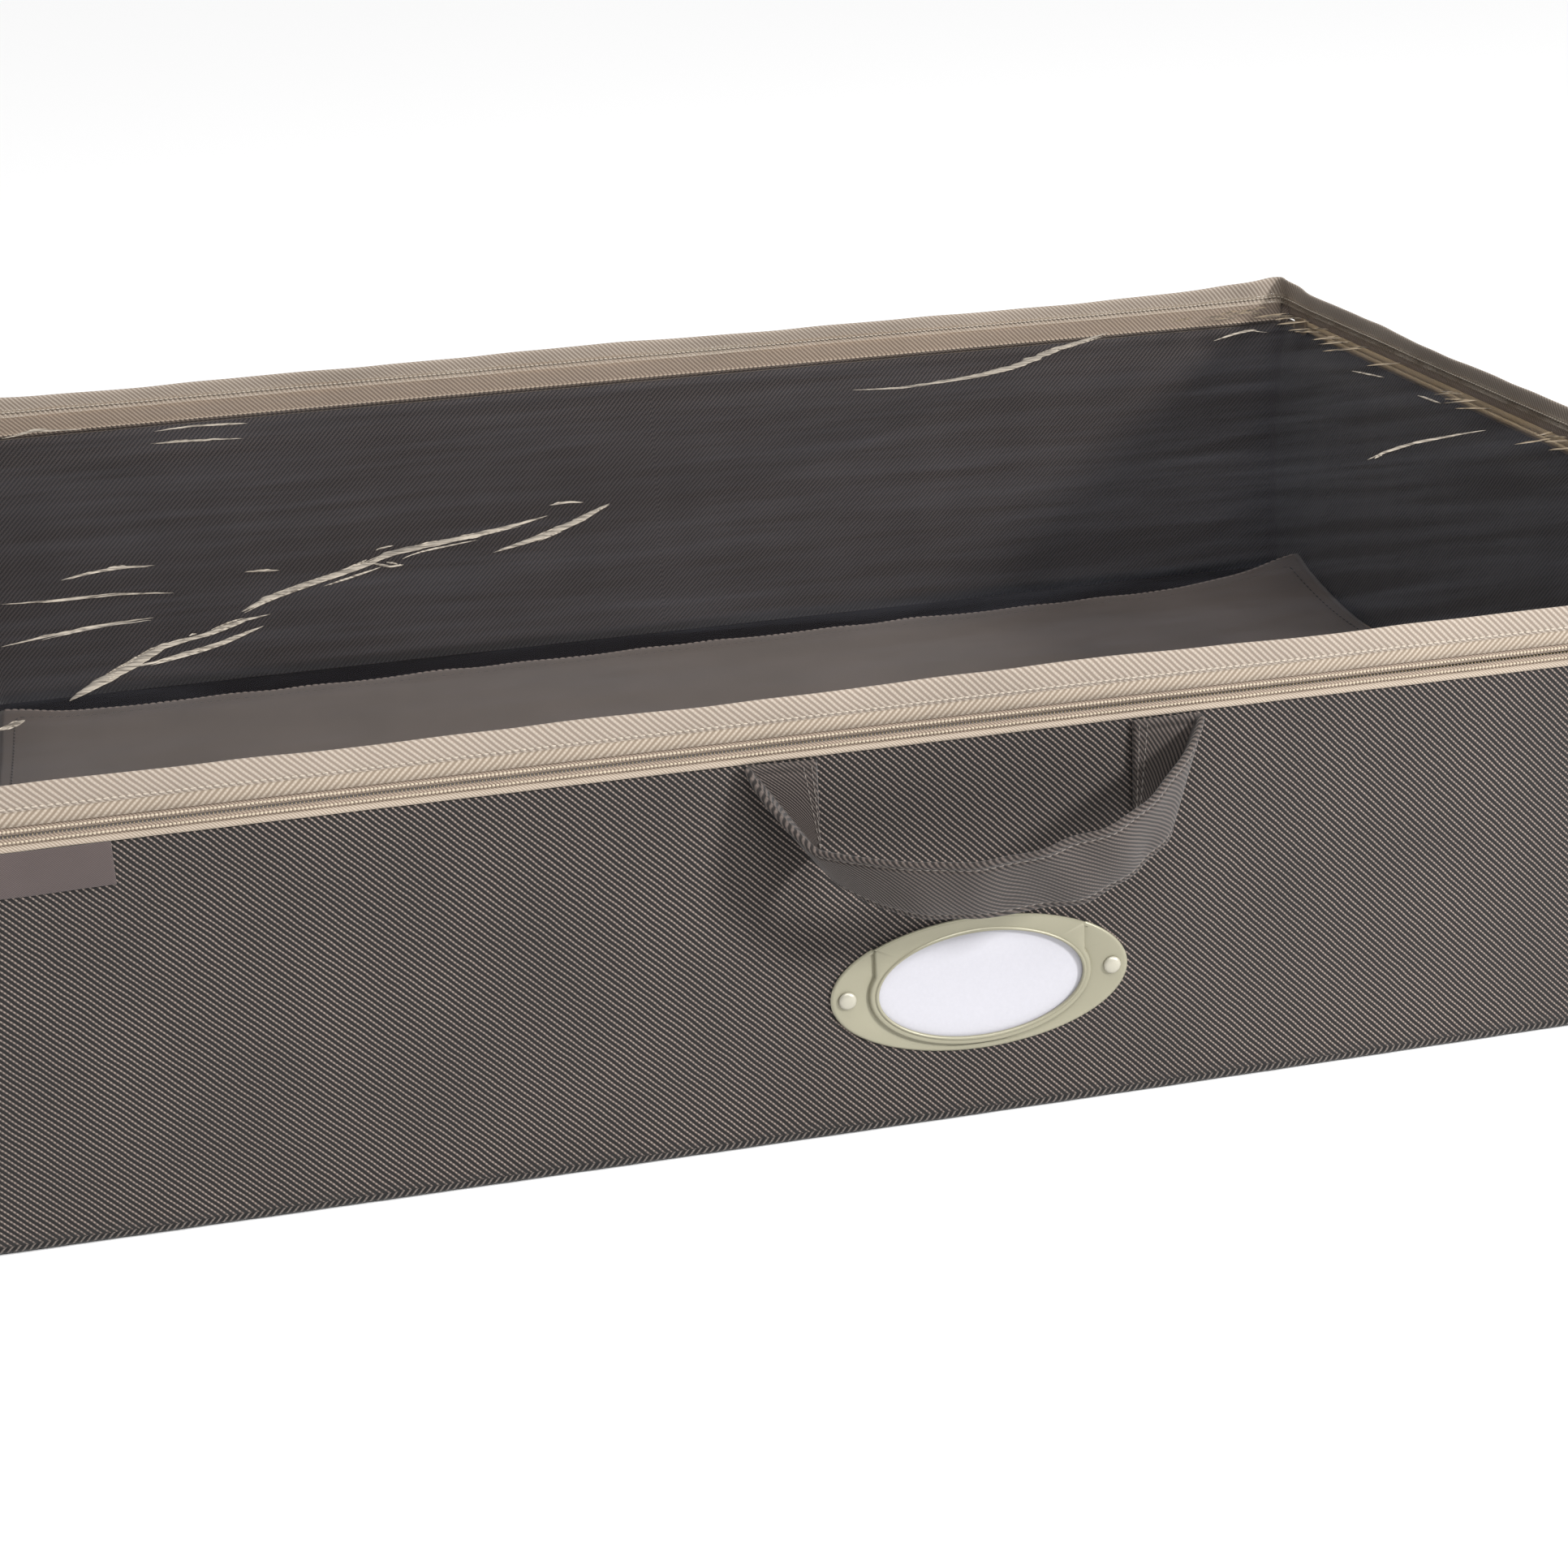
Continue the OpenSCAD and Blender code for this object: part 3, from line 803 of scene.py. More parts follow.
# Half a pitch of shift sets the lid's turns between the wall's, as a closed zip has them.
lid_turns = (wall_turns[0] + COIL_PITCH / 2, wall_turns[1] + COIL_PITCH / 2)
lid_round = (ZIP_START, ZIP_START + GIRTH - 0.5)
facing_run = (BACK_FROM + 7, BACK_TO - 7)
rows = [
    ("wall_coil_turns", wall_turns, 134.7, 2.42, COIL_PITCH, TURN, nylon_coil, "box"),
    ("lid_coil_turns", lid_turns, 137.3, 2.42, COIL_PITCH, TURN, nylon_coil, "lid"),
    ("wall_coil_knots", ZIP, 134.3, 0.35, COIL_PITCH, KNOT, coil_thread, "box"),
    ("lid_coil_knots", ZIP, 137.7, 0.55, COIL_PITCH, KNOT, coil_thread, "lid"),
    ("lip_stitches", lid_round, 144.6, 0.72, STITCH, (1.9, 0.6, 0.8), beige_thread, "lid"),
    ("film_stitches", lid_round, 145.0, 2.65, STITCH, (1.9, 0.8, 0.9), beige_thread, "lid"),
    ("facing_stitches", facing_run, 134.4, 3.0, STITCH, (1.9, 0.9, 1.0), beige_thread, "box"),
]
for name, reach, z, depth, pitch, size, thread, body in rows:
    knots = bead_row(name, line_on(on_tape, reach, z, depth), pitch, size, thread)
    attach(knots, body)
    if "turns" in name:
        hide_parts(name.replace("_turns", ""))
    print(name, len(knots.data.polygons), "faces")

# %% [markdown]
# ## The clear lid
#
# One sheet of vinyl fills the lid. Its edges turn up and are sewn to the lip's inner side, and between them
# it is nearly taut, with slow waves that bend what it mirrors. Old folds have left creases in it: bundles of
# narrow blades that taper at both ends and sit on the film like ribs, pale with whitening and painted
# reflection.

# %% Film


def film_height(x, y):
    """Height of the film at a spot, in millimetres. The waves die out at its seam."""
    edge = np.minimum(HALF_W - 2 - np.abs(x), HALF_D - 2 - np.abs(y))
    free = np.clip(edge / 70, 0, 1) ** 0.8
    wave = 0.7 * np.sin(x / 61 + y / 97 + 0.6) + 0.5 * np.sin(x / 31 - y / 43)
    wave += 0.25 * np.sin(x / 17 + y / 23)
    ties = 0.35 * np.sin(x / 6.1) * np.exp(-(HALF_D - 2 - np.abs(y)) / 18)
    ties += 0.35 * np.sin(y / 5.7) * np.exp(-(HALF_W - 2 - np.abs(x)) / 18)
    return FILM_Z + 0.2 + free * wave + ties * np.clip(edge / 6, 0, 1)


def film_place(u, v):
    x, y = rounded(u, v, HALF_W - 2.2, HALF_D - 2.2, CORNER - 2)
    return np.column_stack([x, y, film_height(x, y)]), np.column_stack([x, y])


film = lay("clear_film", 220, 184, film_place, clear_vinyl)
thicken(film, SHEET_THICK)
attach(film, "lid")
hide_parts("lid_film")


def on_seam(s, z, depth):
    """The film's turned-up edge, which follows the lip."""
    spot = on_tape(s, np.maximum(z, 144), depth)
    spot[:, 2] += z - np.maximum(z, 144)
    return spot


seam_rows = [(FILM_Z, 3.4), (FILM_Z + 0.15, 2.7), (143.4, 2.3), (144.2, 2.15), (145.2, 2.2), (146.4, 2.25)]
turned_edge = strip("film_turned_edge", ALL_ROUND, 4, seam_rows, on_seam, [edge_vinyl])
thicken(turned_edge, SHEET_THICK)
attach(turned_edge, "lid")
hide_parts("film_seam")

# %% Creases
rng = np.random.default_rng(7)


def crease(points, width, finish=creased_vinyl_painted_reflection):
    """A fold in the film along a line of points, pale with whitening and painted reflection: a thin ridge,
    widest in its middle.
    """
    points = np.asarray(points, float)
    walk = np.concatenate([[0], np.cumsum(np.hypot(*np.diff(points, axis=0).T))])
    count = max(12, int(walk[-1] / 1.5))
    rough = np.convolve(rng.normal(0, 1, count + 5), [0.25, 0.5, 0.25], "same")

    def place(u, v):
        at = u * walk[-1]
        x, y = np.interp(at, walk, points[:, 0]), np.interp(at, walk, points[:, 1])
        ahead = np.interp(at + 2, walk, points[:, 0]) - np.interp(at - 2, walk, points[:, 0])
        aside = np.interp(at + 2, walk, points[:, 1]) - np.interp(at - 2, walk, points[:, 1])
        size = np.maximum(np.hypot(ahead, aside), 1e-6)
        taper = np.sin(math.pi * np.clip(u, 0, 1)) ** 0.7
        uneven = 1 + 0.18 * rough[np.round(u * count).astype(int)]
        off = (v - 0.5) * width * taper * uneven
        x, y = x - off * aside / size, y + off * ahead / size
        rise = 0.12 + 0.5 * taper * (1 - np.abs(2 * v - 1)) + 0.1 * rough[np.round(u * count).astype(int)]
        return np.column_stack([x, y, film_height(x, y) + np.maximum(rise, 0.1)]), np.column_stack([at, off])

    return thicken(lay("crease", count, 6, place, finish), 0.08)


# The fold points below were worked out by another program and pasted in, so they are data and not a design.
# A design would give each fold as a start, a heading and a bend.
main_fold = [(-301, -201), (-293, -193), (-279, -180), (-267, -161), (-258, -147), (-248, -130), (-232, -121),
             (-219, -109), (-209, -104)]
long_fold = [(-219, -98), (-209, -83), (-195, -68), (-180, -56), (-168, -46), (-159, -35), (-146, -28),
             (-126, -18), (-105, -7), (-93, 0)]
folds = [
    (main_fold[:2], 4.0), (main_fold[2:6], 7.0), (main_fold[3:7], 5.0), (main_fold[5:], 4.0),
    ([(-262, -152), (-248, -146), (-228, -134), (-212, -118)], 4.0),
    (long_fold[:4], 4.5), (long_fold[1:6], 6.0), (long_fold[4:8], 7.5), (long_fold[6:], 4.0),
    ([(-168, -46), (-161, -54), (-156, -53)], 2.4),
    ([(-121, -45), (-102, -30), (-83, -12), (-66, 10)], 5.0),
    ([(-90, 15), (-82, 17), (-76, 15)], 2.2),
    ([(-303, -106), (-287, -99), (-270, -93), (-250, -92)], 2.4),
    ([(-283, -26), (-272, -19), (-260, -15), (-248, -16)], 2.4),
    ([(-215, -40), (-202, -43)], 1.8),
    ([(-305, -50), (-287, -53), (-261, -55), (-242, -61)], 2.2),
    ([(-312, 236), (-298, 247), (-276, 242)], 2.4),
    ([(-243, 223), (-224, 225), (-202, 219)], 2.2),
    ([(-245, 198), (-229, 194), (-204, 188)], 2.4),
    ([(78, 175), (100, 169), (117, 172), (139, 178), (163, 191), (191, 215), (229, 245)], 7.0),
    ([(240, -43), (249, -36), (269, -24), (293, -16), (307, -14)], 2.8),
    ([(301, 112), (309, 93)], 1.8), ([(307, 54), (310, 36)], 1.8),
    ([(269, 204), (284, 214), (294, 218), (300, 211)], 2.4),
]
blades = []
for points, width in folds:
    blades.append(crease(points, width))
    spine = np.asarray(points, float)
    for _ in range(int(min(width, 5))):
        # Finer strokes lie beside each broad fold, each a shorter piece of the same line.
        first, last = np.sort(rng.uniform(0, len(spine) - 1, 2))
        cut = np.linspace(first, max(last, first + 0.6), 6)
        part = np.column_stack([np.interp(cut, range(len(spine)), axis) for axis in spine.T])
        blades.append(crease(part + rng.normal(0, width * 0.5, 2), rng.uniform(0.6, 1.5)))
# The folds by the seam take the darker crease finish: painted shade and painted reflection beside the lip.
for spot in np.concatenate([rng.uniform(-110, 150, 16), rng.uniform(150, 262, 18)]):
    # The seam pulls short folds out of the film along the right side, closest together near the back.
    x, y = rng.uniform(322, 331), spot
    reach, lean = rng.uniform(6, 20), rng.uniform(-5, 7)
    path = [(x, y), (x - reach / 2, y + lean * 0.6), (x - reach, y + lean)]
    blades.append(crease(path, rng.uniform(1, 2.6), finish=shaded_crease))
for spot in rng.uniform(270, 326, 9):
    y, reach = rng.uniform(252, 272), rng.uniform(6, 18)
    path = [(spot, y), (spot - reach, y - rng.uniform(0, 7))]
    blades.append(crease(path, rng.uniform(0.9, 2.0), finish=shaded_crease))
creases = joined(blades, "film_creases")
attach(creases, "lid")
print("film", len(film.data.polygons), "faces, creases", len(creases.data.polygons))

# %% [markdown]
# ## The strap handle
#
# The strap is wall cloth folded double and sewn along both edges, so it is thickest in the middle and at
# its rolled edges, with a shallow channel under each stitch row. It droops in an arc from its ends, which
# are folded back and sewn flat to the wall under the zip tape.

# %% Handle strap
STRAP_HIGH = 32.0
DROOP = math.radians(28)
SPREAD = 75.0
REACH_OUT = 45.0
STRAP_R = (SPREAD**2 + REACH_OUT**2) / (2 * REACH_OUT)
END_RUN = 22.0
STRAP_TOP = BAND_Z - 0.4
TURN_R = 1.5
STRAP_Y = FRONT_Y - 3.2
SHARES = np.cumsum([0, 0.10, 0.05, 0.70, 0.05, 0.10])


def strap_face(share, w):
    """The strap's middle layer between its folds, for a share from -1 to 1 and a distance down from its top.

    The top edge is a drooping arc. The lower edge is tucked in: it leaves the wall nearer the middle, runs
    straight out and then turns, so the strap is pinched at both ends and widest in front."""
    turn = share * math.asin(SPREAD / STRAP_R)
    out = STRAP_R * np.cos(turn) - (STRAP_R - REACH_OUT)
    top = np.column_stack([STRAP_R * np.sin(turn), -out * math.cos(DROOP), -out * math.sin(DROOP)])
    tight = np.where(share < 0, 53, 62)
    bend = np.clip(np.abs(share), 0, 1) * math.pi / 2
    # The left end hangs lower than the right before it turns along the front.
    top[:, 2] -= 12 * np.clip((share + 1) / 0.3, 0, 1) ** 0.7 * np.exp(-2.2 * np.maximum(share + 0.7, 0))
    low_out = 24.7 * np.cos(bend) ** 0.77
    low_x = np.sign(share) * tight * np.sin(bend) ** 0.77
    low = np.column_stack([low_x, -low_out, -33 - 16.4 * (low_out / 24.7) ** 2.2])
    belly = 1.2 * np.sin(math.pi * w / STRAP_HIGH) * np.cos(bend)
    spot = top + (low - top) * (w / STRAP_HIGH)[:, None]
    return spot + np.column_stack([0 * w, STRAP_Y - belly, STRAP_TOP + 0 * w])


def strap_spot(t, w, off):
    """A point of the strap: t along it from 0 to 1, w down from its top edge, off outwards from its middle.

    The strap runs from one sewn end to its fold, out round the arc to the other fold, and back along the
    wall."""
    t, w, off = (np.asarray(a, float).ravel() for a in np.broadcast_arrays(t, w, off))
    side = np.where(t < 0.5, -1.0, 1.0)
    share = np.interp(t, SHARES[2:4], [-1, 1])
    near_end = np.minimum(t, 1 - t)
    fold = 1 - np.clip((near_end - SHARES[1]) / (SHARES[2] - SHARES[1]), 0, 1)
    back = 1 - np.clip(near_end / SHARES[1], 0, 1)
    inner = np.clip(share, -0.985, 0.985)
    down = strap_face(inner, w + 0.5) - strap_face(inner, w - 0.5)
    first = np.cross(down, strap_face(inner + 0.01, w) - strap_face(inner - 0.01, w))
    first /= np.linalg.norm(first, axis=1)[:, None]
    turned = np.arctan2(first[:, 0], -first[:, 1])
    turned += fold * (side * math.pi - turned)
    level = np.hypot(first[:, 0], first[:, 1]) * (1 - fold) + fold
    now = np.column_stack([np.sin(turned) * level, -np.cos(turned) * level, first[:, 2] * (1 - fold)])
    spot = strap_face(share, w) + TURN_R * (now - first)
    inner_end = np.column_stack([side * (SPREAD - END_RUN - 1), spot[:, 1], STRAP_TOP - w])
    spot = spot + (inner_end - spot) * back[:, None]
    wrinkle = 1.0 * np.sin(t * 31 + w / 14) * np.exp(-(((t - 0.62) / 0.16) ** 2))
    wrinkle += 0.7 * np.sin(t * 74 - w / 10) * np.exp(-(((t - 0.57) / 0.14) ** 2))
    return spot + now * (off + wrinkle * (1 - fold))[:, None]


def strap_half(w):
    """Half the strap's thickness at w: rolled edges, a channel under each stitch row, and a soft middle."""
    edge = np.minimum(w, STRAP_HIGH - w)
    rolled = 1.15 * np.sqrt(np.clip(edge / 1.2, 0, 1))
    channel = 0.42 * np.exp(-(((edge - 3.2) / 0.9) ** 2))
    return rolled - channel


rolled_edge = np.linspace(0, 1.2, 5) ** 1.5 / 1.2**0.5
widths = np.concatenate([rolled_edge, np.linspace(1.9, 5.5, 9), np.linspace(7, STRAP_HIGH / 2, 7)])
widths = np.concatenate([widths, (STRAP_HIGH - widths[::-1])[1:]])
loop_w = np.concatenate([widths, widths[::-1][1:]])


def strap_place(u, v):
    row = v * (len(loop_w) - 1)
    w = np.interp(row, range(len(loop_w)), loop_w)
    side = np.where(row <= len(widths) - 1, 1, -1)
    end = np.sqrt(np.clip(np.minimum(u, 1 - u) * 260 / 0.8, 0, 1))
    return strap_spot(u, w, side * strap_half(w) * end), np.column_stack([u * 240, side * w])


STRAP_STEPS = 260
strap = lay("handle_strap_cloth", STRAP_STEPS, len(loop_w) - 1, strap_place, strap_twill)
face_outwards(merge(strap))
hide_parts("handle_strap", "handle_ends")
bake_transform(strap)


# %% Handle stitches
def strap_row(name, t, w, side):
    """A row of stitches on the strap, along it or across it."""
    t, w = np.broadcast_arrays(np.asarray(t, float), np.asarray(w, float))
    line = strap_spot(t, w, side * (strap_half(w) + 0.05))
    knots = bead_row(name, line, 2.6, (1.9, 0.45, 0.45), taupe_thread)
    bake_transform(knots)
    return knots


along_strap = np.linspace(SHARES[2] + 0.01, SHARES[3] - 0.01, 90)
for edge, w in (("top", 3.2), ("low", STRAP_HIGH - 3.2)):
    strap_row(f"strap_{edge}_stitches_out", along_strap, w, 1)
    strap_row(f"strap_{edge}_stitches_in", along_strap, w, -1)
for side, far in (("left", 0), ("right", 1)):
    for number, run in enumerate((2.2, 5.0)):
        t = abs(far - SHARES[1] * run / END_RUN)
        strap_row(f"strap_{side}_end_stitches_{number + 1}", t, np.linspace(1, STRAP_HIGH - 2, 12), -1)
print("strap", len(strap.data.polygons), "faces")

# %% [markdown]
# ## The label holder
#
# The holder is one stamped plate: a flat oval flange, a raised pocket that opens upwards, and a rolled rim
# round its window. It is laid as rings, each a mix of the plate's, the pocket's and the window's outlines.

# %% Label plate
PLATE_X, PLATE_Z = (plate_low[0] + plate_high[0]) / 2, (plate_low[2] + plate_high[2]) / 2
PLATE_A, PLATE_B = (plate_high[0] - plate_low[0]) / 2, (plate_high[2] - plate_low[2]) / 2
WINDOW_A, WINDOW_B = 34.65, 18.4
POCKET_A, POCKET_B = WINDOW_A + 3.1, WINDOW_B + 3.0
SLOT_A = 35.6


def oval(angle, a, b):
    """Distance from the middle to an oval, at an angle."""
    return 1 / np.hypot(np.cos(angle) / a, np.sin(angle) / b)


def pocket_edge(angle):
    """Distance to the pocket's edge: an oval, and above it straight sides up to the plate's top."""
    ring = oval(angle, POCKET_A, POCKET_B)
    sides = SLOT_A / np.maximum(np.abs(np.cos(angle)), 1e-6)
    return np.where(np.sin(angle) < 0, ring, np.maximum(ring, sides))


# Each ring follows an outline, set out from it by a distance, at a height over the wall.
rings = [
    ("plate", -0.8, 0.05), ("plate", 0, 0.2), ("plate", 0, 0.45), ("plate", -0.5, 0.85),
    ("plate", -1.1, 0.95), ("plate", -1.9, 0.8), ("pocket", 1.1, 0.8), ("pocket", 0.5, 0.55),
    ("pocket", 0.15, 0.5), ("pocket", 0, 1.1), ("pocket", -0.3, 1.9), ("pocket", -0.8, 2.1),
    ("window", 1.7, 2.1), ("window", 1.3, 2.0), ("window", 1.0, 2.4), ("window", 0.7, 2.5),
    ("window", 0.3, 2.4), ("window", 0.05, 2.1), ("window", 0, 1.7), ("window", 0.05, 1.3),
    ("window", 0.6, 1.2), ("pocket", -1.1, 1.2), ("pocket", -1.1, 0.6), ("pocket", -1.1, 0.05),
    ("plate", -0.8, 0.05),
]


def plate_place(u, v):
    angle = u * 2 * math.pi
    row = np.round(v * (len(rings) - 1)).astype(int)
    kinds = np.array(["plate window pocket".split().index(ring[0]) for ring in rings])[row]
    grow = np.array([ring[1] for ring in rings])[row]
    out = np.array([ring[2] for ring in rings])[row]
    plate = oval(angle, PLATE_A, PLATE_B)
    window = oval(angle, WINDOW_A, WINDOW_B)
    pocket = np.minimum(pocket_edge(angle) + grow, plate - 0.6)
    reach = np.select([kinds == 0, kinds == 1], [plate + grow, window + grow], pocket)
    roof = (np.sin(angle) > 0) & (pocket_edge(angle) > plate - 0.7)
    out = np.where(roof, np.maximum(out, 1.2), out)
    raised = np.where((row > 1) & (row < 6), 0.8, 0)
    out = np.where(roof & (kinds == 0), 1.2 + (out - 1.2) * 0.9 + raised, out)
    x, z = reach * np.cos(angle), reach * np.sin(angle)
    return np.column_stack([PLATE_X + x, FRONT_Y - out, PLATE_Z + z]), np.column_stack([x, z])


plate = lay("label_holder", 384, len(rings) - 1, plate_place, plate_metal)
face_outwards(merge(plate))
bpy.ops.object.shade_smooth_by_angle(angle=math.radians(50))
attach(plate, "box")
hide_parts("label_plate")

# %% Rivets


def spun(name, profile, place, turned, material, steps=40):
    """A round part: rings of a profile of radius and height, stood at a place and turned."""
    radii, heights = np.array(profile, float).T

    def rings_place(u, v):
        angle, row = u * 2 * math.pi, v * (len(radii) - 1)
        radius, high = np.interp(row, range(len(radii)), radii), np.interp(row, range(len(radii)), heights)
        flat = np.column_stack([radius * np.cos(angle), radius * np.sin(angle), high])
        return flat @ np.array(turned).T + place, np.column_stack([angle * radius, high])

    piece = lay(name, steps, len(radii) - 1, rings_place, material)
    return merge(piece)


TO_FRONT = ((1, 0, 0), (0, 0, -1), (0, 1, 0))
TO_BACK = ((1, 0, 0), (0, 0, 1), (0, -1, 0))
RIVET_X = 45
dome = [(0, 0), (2.9, 0), (3.0, 0.25), (2.95, 0.55), (2.75, 0.85), (2.3, 1.12), (1.7, 1.3), (1.0, 1.4)]
dome += [(0, 1.44)]
tail = [(0, 0), (2.0, 0), (2.3, 0.2), (2.2, 0.7), (1.4, 1.0), (0, 0.9)]
heads = []
for x in (-RIVET_X, RIVET_X):
    heads.append(spun("rivet_head", dome, (x, FRONT_Y - 0.9, PLATE_Z), TO_FRONT, rivet_metal))
    heads.append(spun("rivet_tail", tail, (x, FRONT_Y + 4.4, PLATE_Z), TO_BACK, rivet_metal))
rivets = face_outwards(joined(heads, "rivet_pair"))
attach(rivets, "box")
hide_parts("rivets")
print("plate", len(plate.data.polygons), "faces, rivets", len(rivets.data.polygons))

# %% [markdown]
# ## The side tag
#
# A short loop of woven satin ribbon is caught under the zip tape at the left. It is blank here.

# %% Side tag
tag_low, tag_high = limits("side_tag")


def tag_place(u, v):
    x = tag_low[0] + u * (tag_high[0] - tag_low[0])
    z = tag_high[2] + v * (tag_low[2] - tag_high[2])
    out = 0.35 + 0.35 * np.sin(v * math.pi) + 0.15 * np.sin(u * 7 + v * 2) * v
    return np.column_stack([x, FRONT_Y - out, z - 0.25 * np.sin(u * 5) * v]), np.column_stack([x, z])


tag = lay("side_ribbon", 40, 16, lambda u, v: tag_place(1 - u, v), tag_satin)
thicken(tag, 0.5, offset=0, rounding=0.15)
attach(tag, "box")
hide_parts("side_tag")
print("tag", len(tag.data.polygons), "faces")

# %% [markdown]
# ## The bottom insert
#
# A thin board wrapped in grey-brown nonwoven lies loose on the floor. Its cover is turned over the edge and
# sewn near the border, so the border is slightly puffed, and its back corners curl up off the floor.

# %% Bottom insert
INSERT_W = insert_high[0] - insert_low[0]
INSERT_D = insert_high[1] - insert_low[1]


def insert_rise(x, y):
    """How far the insert curls up, in millimetres: most at its back right corner."""
    right, back, left = insert_high[0] - x, insert_high[1] - y, x - insert_low[0]
    curl = 13 * np.clip(1 - (right + back) / 95, 0, 1) ** 2
    curl += 5 * np.clip(1 - (left + back) / 70, 0, 1) ** 2
    return curl + 0.5 * np.clip(1 - back / 14, 0, 1) * (1 + np.sin(x / 11) * np.sin(x / 29))


def insert_layer(name, low, high, inset, material, puffed=0.0):
    """One layer of the insert: a closed slab that follows the curl."""
    def place(u, v):
        loop = v * 3
        # Up the front edge, across the top to the back, and underneath back to the front.
        run = np.interp(loop, [0, 0.06, 1.44, 1.5, 1.56, 2.94, 3], [0, 0, 1, 1, 1, 0, 0])
        level = np.interp(loop, [0, 0.06, 1.44, 1.5, 1.56, 2.94, 3], [0, 1, 1, 0.5, 0, 0, 0])
        x = insert_low[0] + inset + u * (INSERT_W - 2 * inset)
        y = insert_low[1] + inset + run * (INSERT_D - 2 * inset)
        end = np.sqrt(np.clip(np.minimum(u, 1 - u) * INSERT_W / 2, 0, 1))
        middle = (low + high) / 2
        sides = (x - insert_low[0], insert_high[0] - x, y - insert_low[1], insert_high[1] - y)
        edge = np.minimum.reduce(sides)
        puff = puffed * (np.sin(np.clip(edge / 9, 0, 1) * math.pi) - 0.8 * np.exp(-(((edge - 9) / 1.2) ** 2)))
        z = middle + (low + level * (high - low) - middle) * end + np.where(level > 0.9, puff, 0)
        return np.column_stack([x, y, z + insert_rise(x, y)]), np.column_stack([x, y])

    piece = lay(name, 150, 255, place, material)
    face_outwards(merge(piece))
    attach(piece, "insert")
    return piece


cover = insert_layer("insert_cloth", insert_low[2] + 1.6, insert_high[2], 0, insert_cloth, 0.5)
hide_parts("insert_cover")
BORDER = 8
side_x, back_y, front_y = insert_high[0] - BORDER, insert_high[1] - BORDER, insert_low[1] + BORDER
corners_x = (-side_x, side_x, side_x, -side_x, -side_x)
corners_y = (front_y, front_y, back_y, back_y, front_y)
walk = [np.interp(np.linspace(0, 4, 400), range(5), axis) for axis in (corners_x, corners_y)]
border = np.column_stack([*walk, insert_high[2] + 0.05 + insert_rise(*walk)])
border_stitches = bead_row("insert_stitches", border, 4.2, (3.1, 0.8, 0.7), dark_thread)
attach(border_stitches, "insert")
edge_x = np.linspace(insert_low[0] + 3, insert_high[0] - 3, 260)
edge_y = insert_high[1] - 1.2 + 0.7 * np.sin(edge_x / 7) * np.sin(edge_x / 23)
overcast = np.column_stack([edge_x, edge_y, insert_high[2] + 0.1 + insert_rise(edge_x, edge_y)])
overcast_edge = bead_row("insert_overcast_edge", overcast, 3.4, (3.2, 1.9, 1.0), border_thread)
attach(overcast_edge, "insert")
print("insert", len(cover.data.polygons), "faces")

# %% [markdown]
# ## The zip slider
#
# The slider is die-cast zinc under matt paint: two plates joined by a post, a crown that holds the tab's
# bar, and a flat tab. Every edge of a casting is rounded, and the body tapers to its tail.

# %% Slider and pull tab
slide_low, slide_high = limits("slider")
tab_low, tab_high = limits("pull_tab")


def block(name, low, high, corners=0.0):
    """A box between two corners, in millimetres. Seen from the side, its corners may be rounded."""
    bpy.ops.object.select_all(action="DESELECT")
    bpy.ops.mesh.primitive_cube_add(size=1)
    piece = bpy.context.object
    piece.name = piece.data.name = name
    low, high = np.array(low, float), np.array(high, float)
    move_points(piece, (points_of(piece) * MM + 0.5) * (high - low) + low)
    if corners:
        weight = piece.data.attributes.new("bevel_weight_edge", "FLOAT", "EDGE")
        spots = points_of(piece)
        for edge, share in zip(piece.data.edges, weight.data):
            first, last = spots[list(edge.vertices)]
            share.value = float(abs(first[0] - last[0]) > 1e-3)
        apply(piece, "BEVEL", width=corners * MM, segments=6, limit_method="WEIGHT")
    return piece


def cut(piece, tool):
    """Takes one shape out of another."""
    apply(piece, "BOOLEAN", object=tool, operation="DIFFERENCE", solver="EXACT")
    bpy.data.objects.remove(tool)


def finish_casting(parts, name, rounding):
    """Rounds the edges of cast parts and joins them."""
    for part in parts:
        apply(part, "BEVEL", width=rounding * MM, segments=3, limit_method="ANGLE",
              angle_limit=math.radians(40))
        part.data.materials.append(zinc_paint)
    piece = joined(parts, name)
    bpy.ops.object.shade_smooth_by_angle(angle=math.radians(40))
    return piece


SLIDE_Y = (slide_low[1] + slide_high[1]) / 2
PLATE_THICK, CROWN_OUT = 1.5, 2.8
PLATE_IN = slide_high[0] - CROWN_OUT - PLATE_THICK


def slide_block(name, x_from, x_to, half_y, half_z):
    """A block centred on the slider and the zip line."""
    return block(name, (x_from, SLIDE_Y - half_y, ZIP_Z - half_z), (x_to, SLIDE_Y + half_y, ZIP_Z + half_z))


def narrow(piece, low, high, share):
    """Narrows a flat part steadily between two places along the zip."""
    spots = points_of(piece)
    far = np.clip((spots[:, 1] - low) / (high - low), 0, 1)
    spots[:, 2] = ZIP_Z + (spots[:, 2] - ZIP_Z) * (1 - share * far)
    move_points(piece, spots)


bodies = []
for name, x in (("outer_plate", PLATE_IN), ("inner_plate", slide_low[0])):
    body = block(name, (x, *slide_low[1:]), (x + PLATE_THICK, *slide_high[1:]), 2.0)
    narrow(body, slide_low[1], slide_high[1], 0.22)
    bodies.append(body)
bodies.append(slide_block("post", slide_low[0], PLATE_IN + 1, 2, 0.3))
crown = slide_block("crown", PLATE_IN + 1, slide_high[0], 5, 1.2)
inside = slide_block("gap", PLATE_IN + PLATE_THICK, slide_high[0] - 0.8, 3.6, 3)
cut(crown, inside)
bodies.append(crown)
slider_body = finish_casting(bodies, "zip_slider_body", 0.28)
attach(slider_body, "slider")
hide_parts("slider")

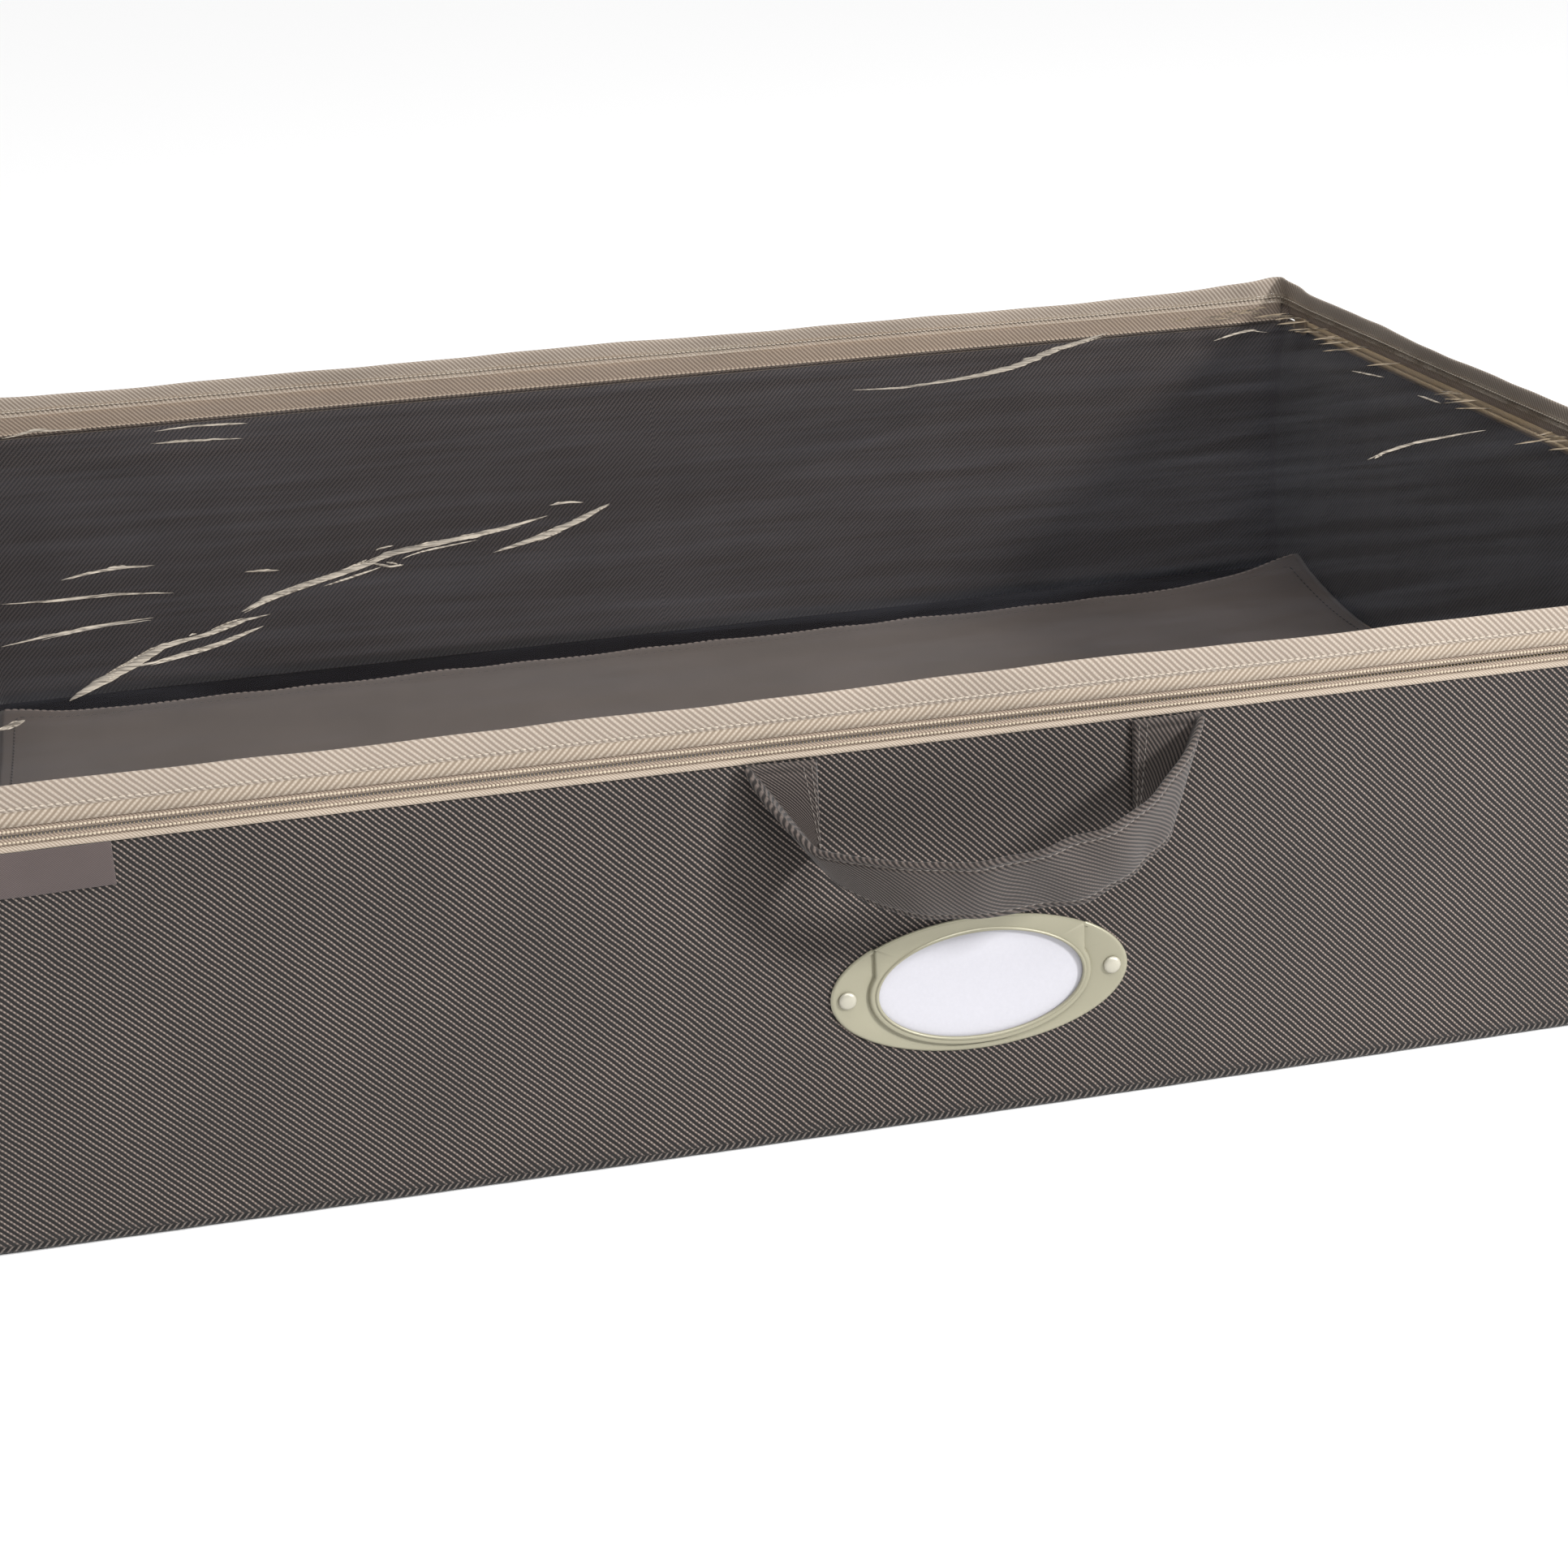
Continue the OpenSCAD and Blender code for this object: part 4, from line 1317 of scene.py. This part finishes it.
tab = block("tab", tab_low, (tab_high[0], tab_high[1] - 0.5, tab_high[2]), 1.5)
narrow(tab, tab_high[1], tab_low[1], 0.14)
slot_low, slot_high = (tab_low[0] - 1, tab_high[1] - 7.5), (tab_high[0] + 1, tab_high[1] + 1)
cut(tab, block("slot", (*slot_low, ZIP_Z - 1.6), (*slot_high, ZIP_Z + 1.6)))
grip_low, grip_high = (tab_high[0] - 0.25, tab_low[1] + 5), (tab_high[0] + 1, tab_low[1] + 15)
cut(tab, block("grip", (*grip_low, ZIP_Z - 1.8), (*grip_high, ZIP_Z + 1.8), 1.2))
bpy.ops.object.select_all(action="DESELECT")
bar_at = ((tab_low[0] + tab_high[0]) / 2 * MM, (tab_high[1] - 0.5) * MM, ZIP_Z * MM)
bpy.ops.mesh.primitive_cylinder_add(vertices=24, radius=0.5 * MM, depth=7 * MM, location=bar_at)
bar = bpy.context.object
bpy.ops.object.transform_apply(location=True)
pull = finish_casting([tab, bar], "zip_pull_tab", 0.22)
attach(pull, "pull_tab")
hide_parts("pull_tab")
print("slider", len(slider_body.data.polygons), "faces, tab", len(pull.data.polygons))

# %% Plain finishes for the CAD nodes that stay
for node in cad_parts:
    shown = bpy.data.objects.get(node if isinstance(node, str) else node["name"])
    if shown is None or shown.hide_render:
        continue
    name = shown.name
    finish = chipboard
    if "coil" in name or "stops" in name:
        finish = nylon_coil
    elif "washer" in name:
        finish = rivet_metal
    elif "card" in name:
        finish = white_card
    for place in shown.material_slots:
        place.material = finish
    print("finished", name, "with", finish.name)

# %% [markdown]
# ## The floor and its paper
#
# The ground is one wide sheet of white paper, just under the box.

# %% Floor
bpy.ops.object.select_all(action="DESELECT")
bpy.ops.mesh.primitive_plane_add(size=30)
ground = bpy.context.object
ground.name = "studio_floor"
move_points(ground, points_of(ground) + [0, 0, -0.4])
paper, _, _ = new_material("white_paper_sweep", Roughness=0.9, Base_Color=linear("#f4f4f4"))
ground.data.materials.append(paper)
print("ground", paper.name)
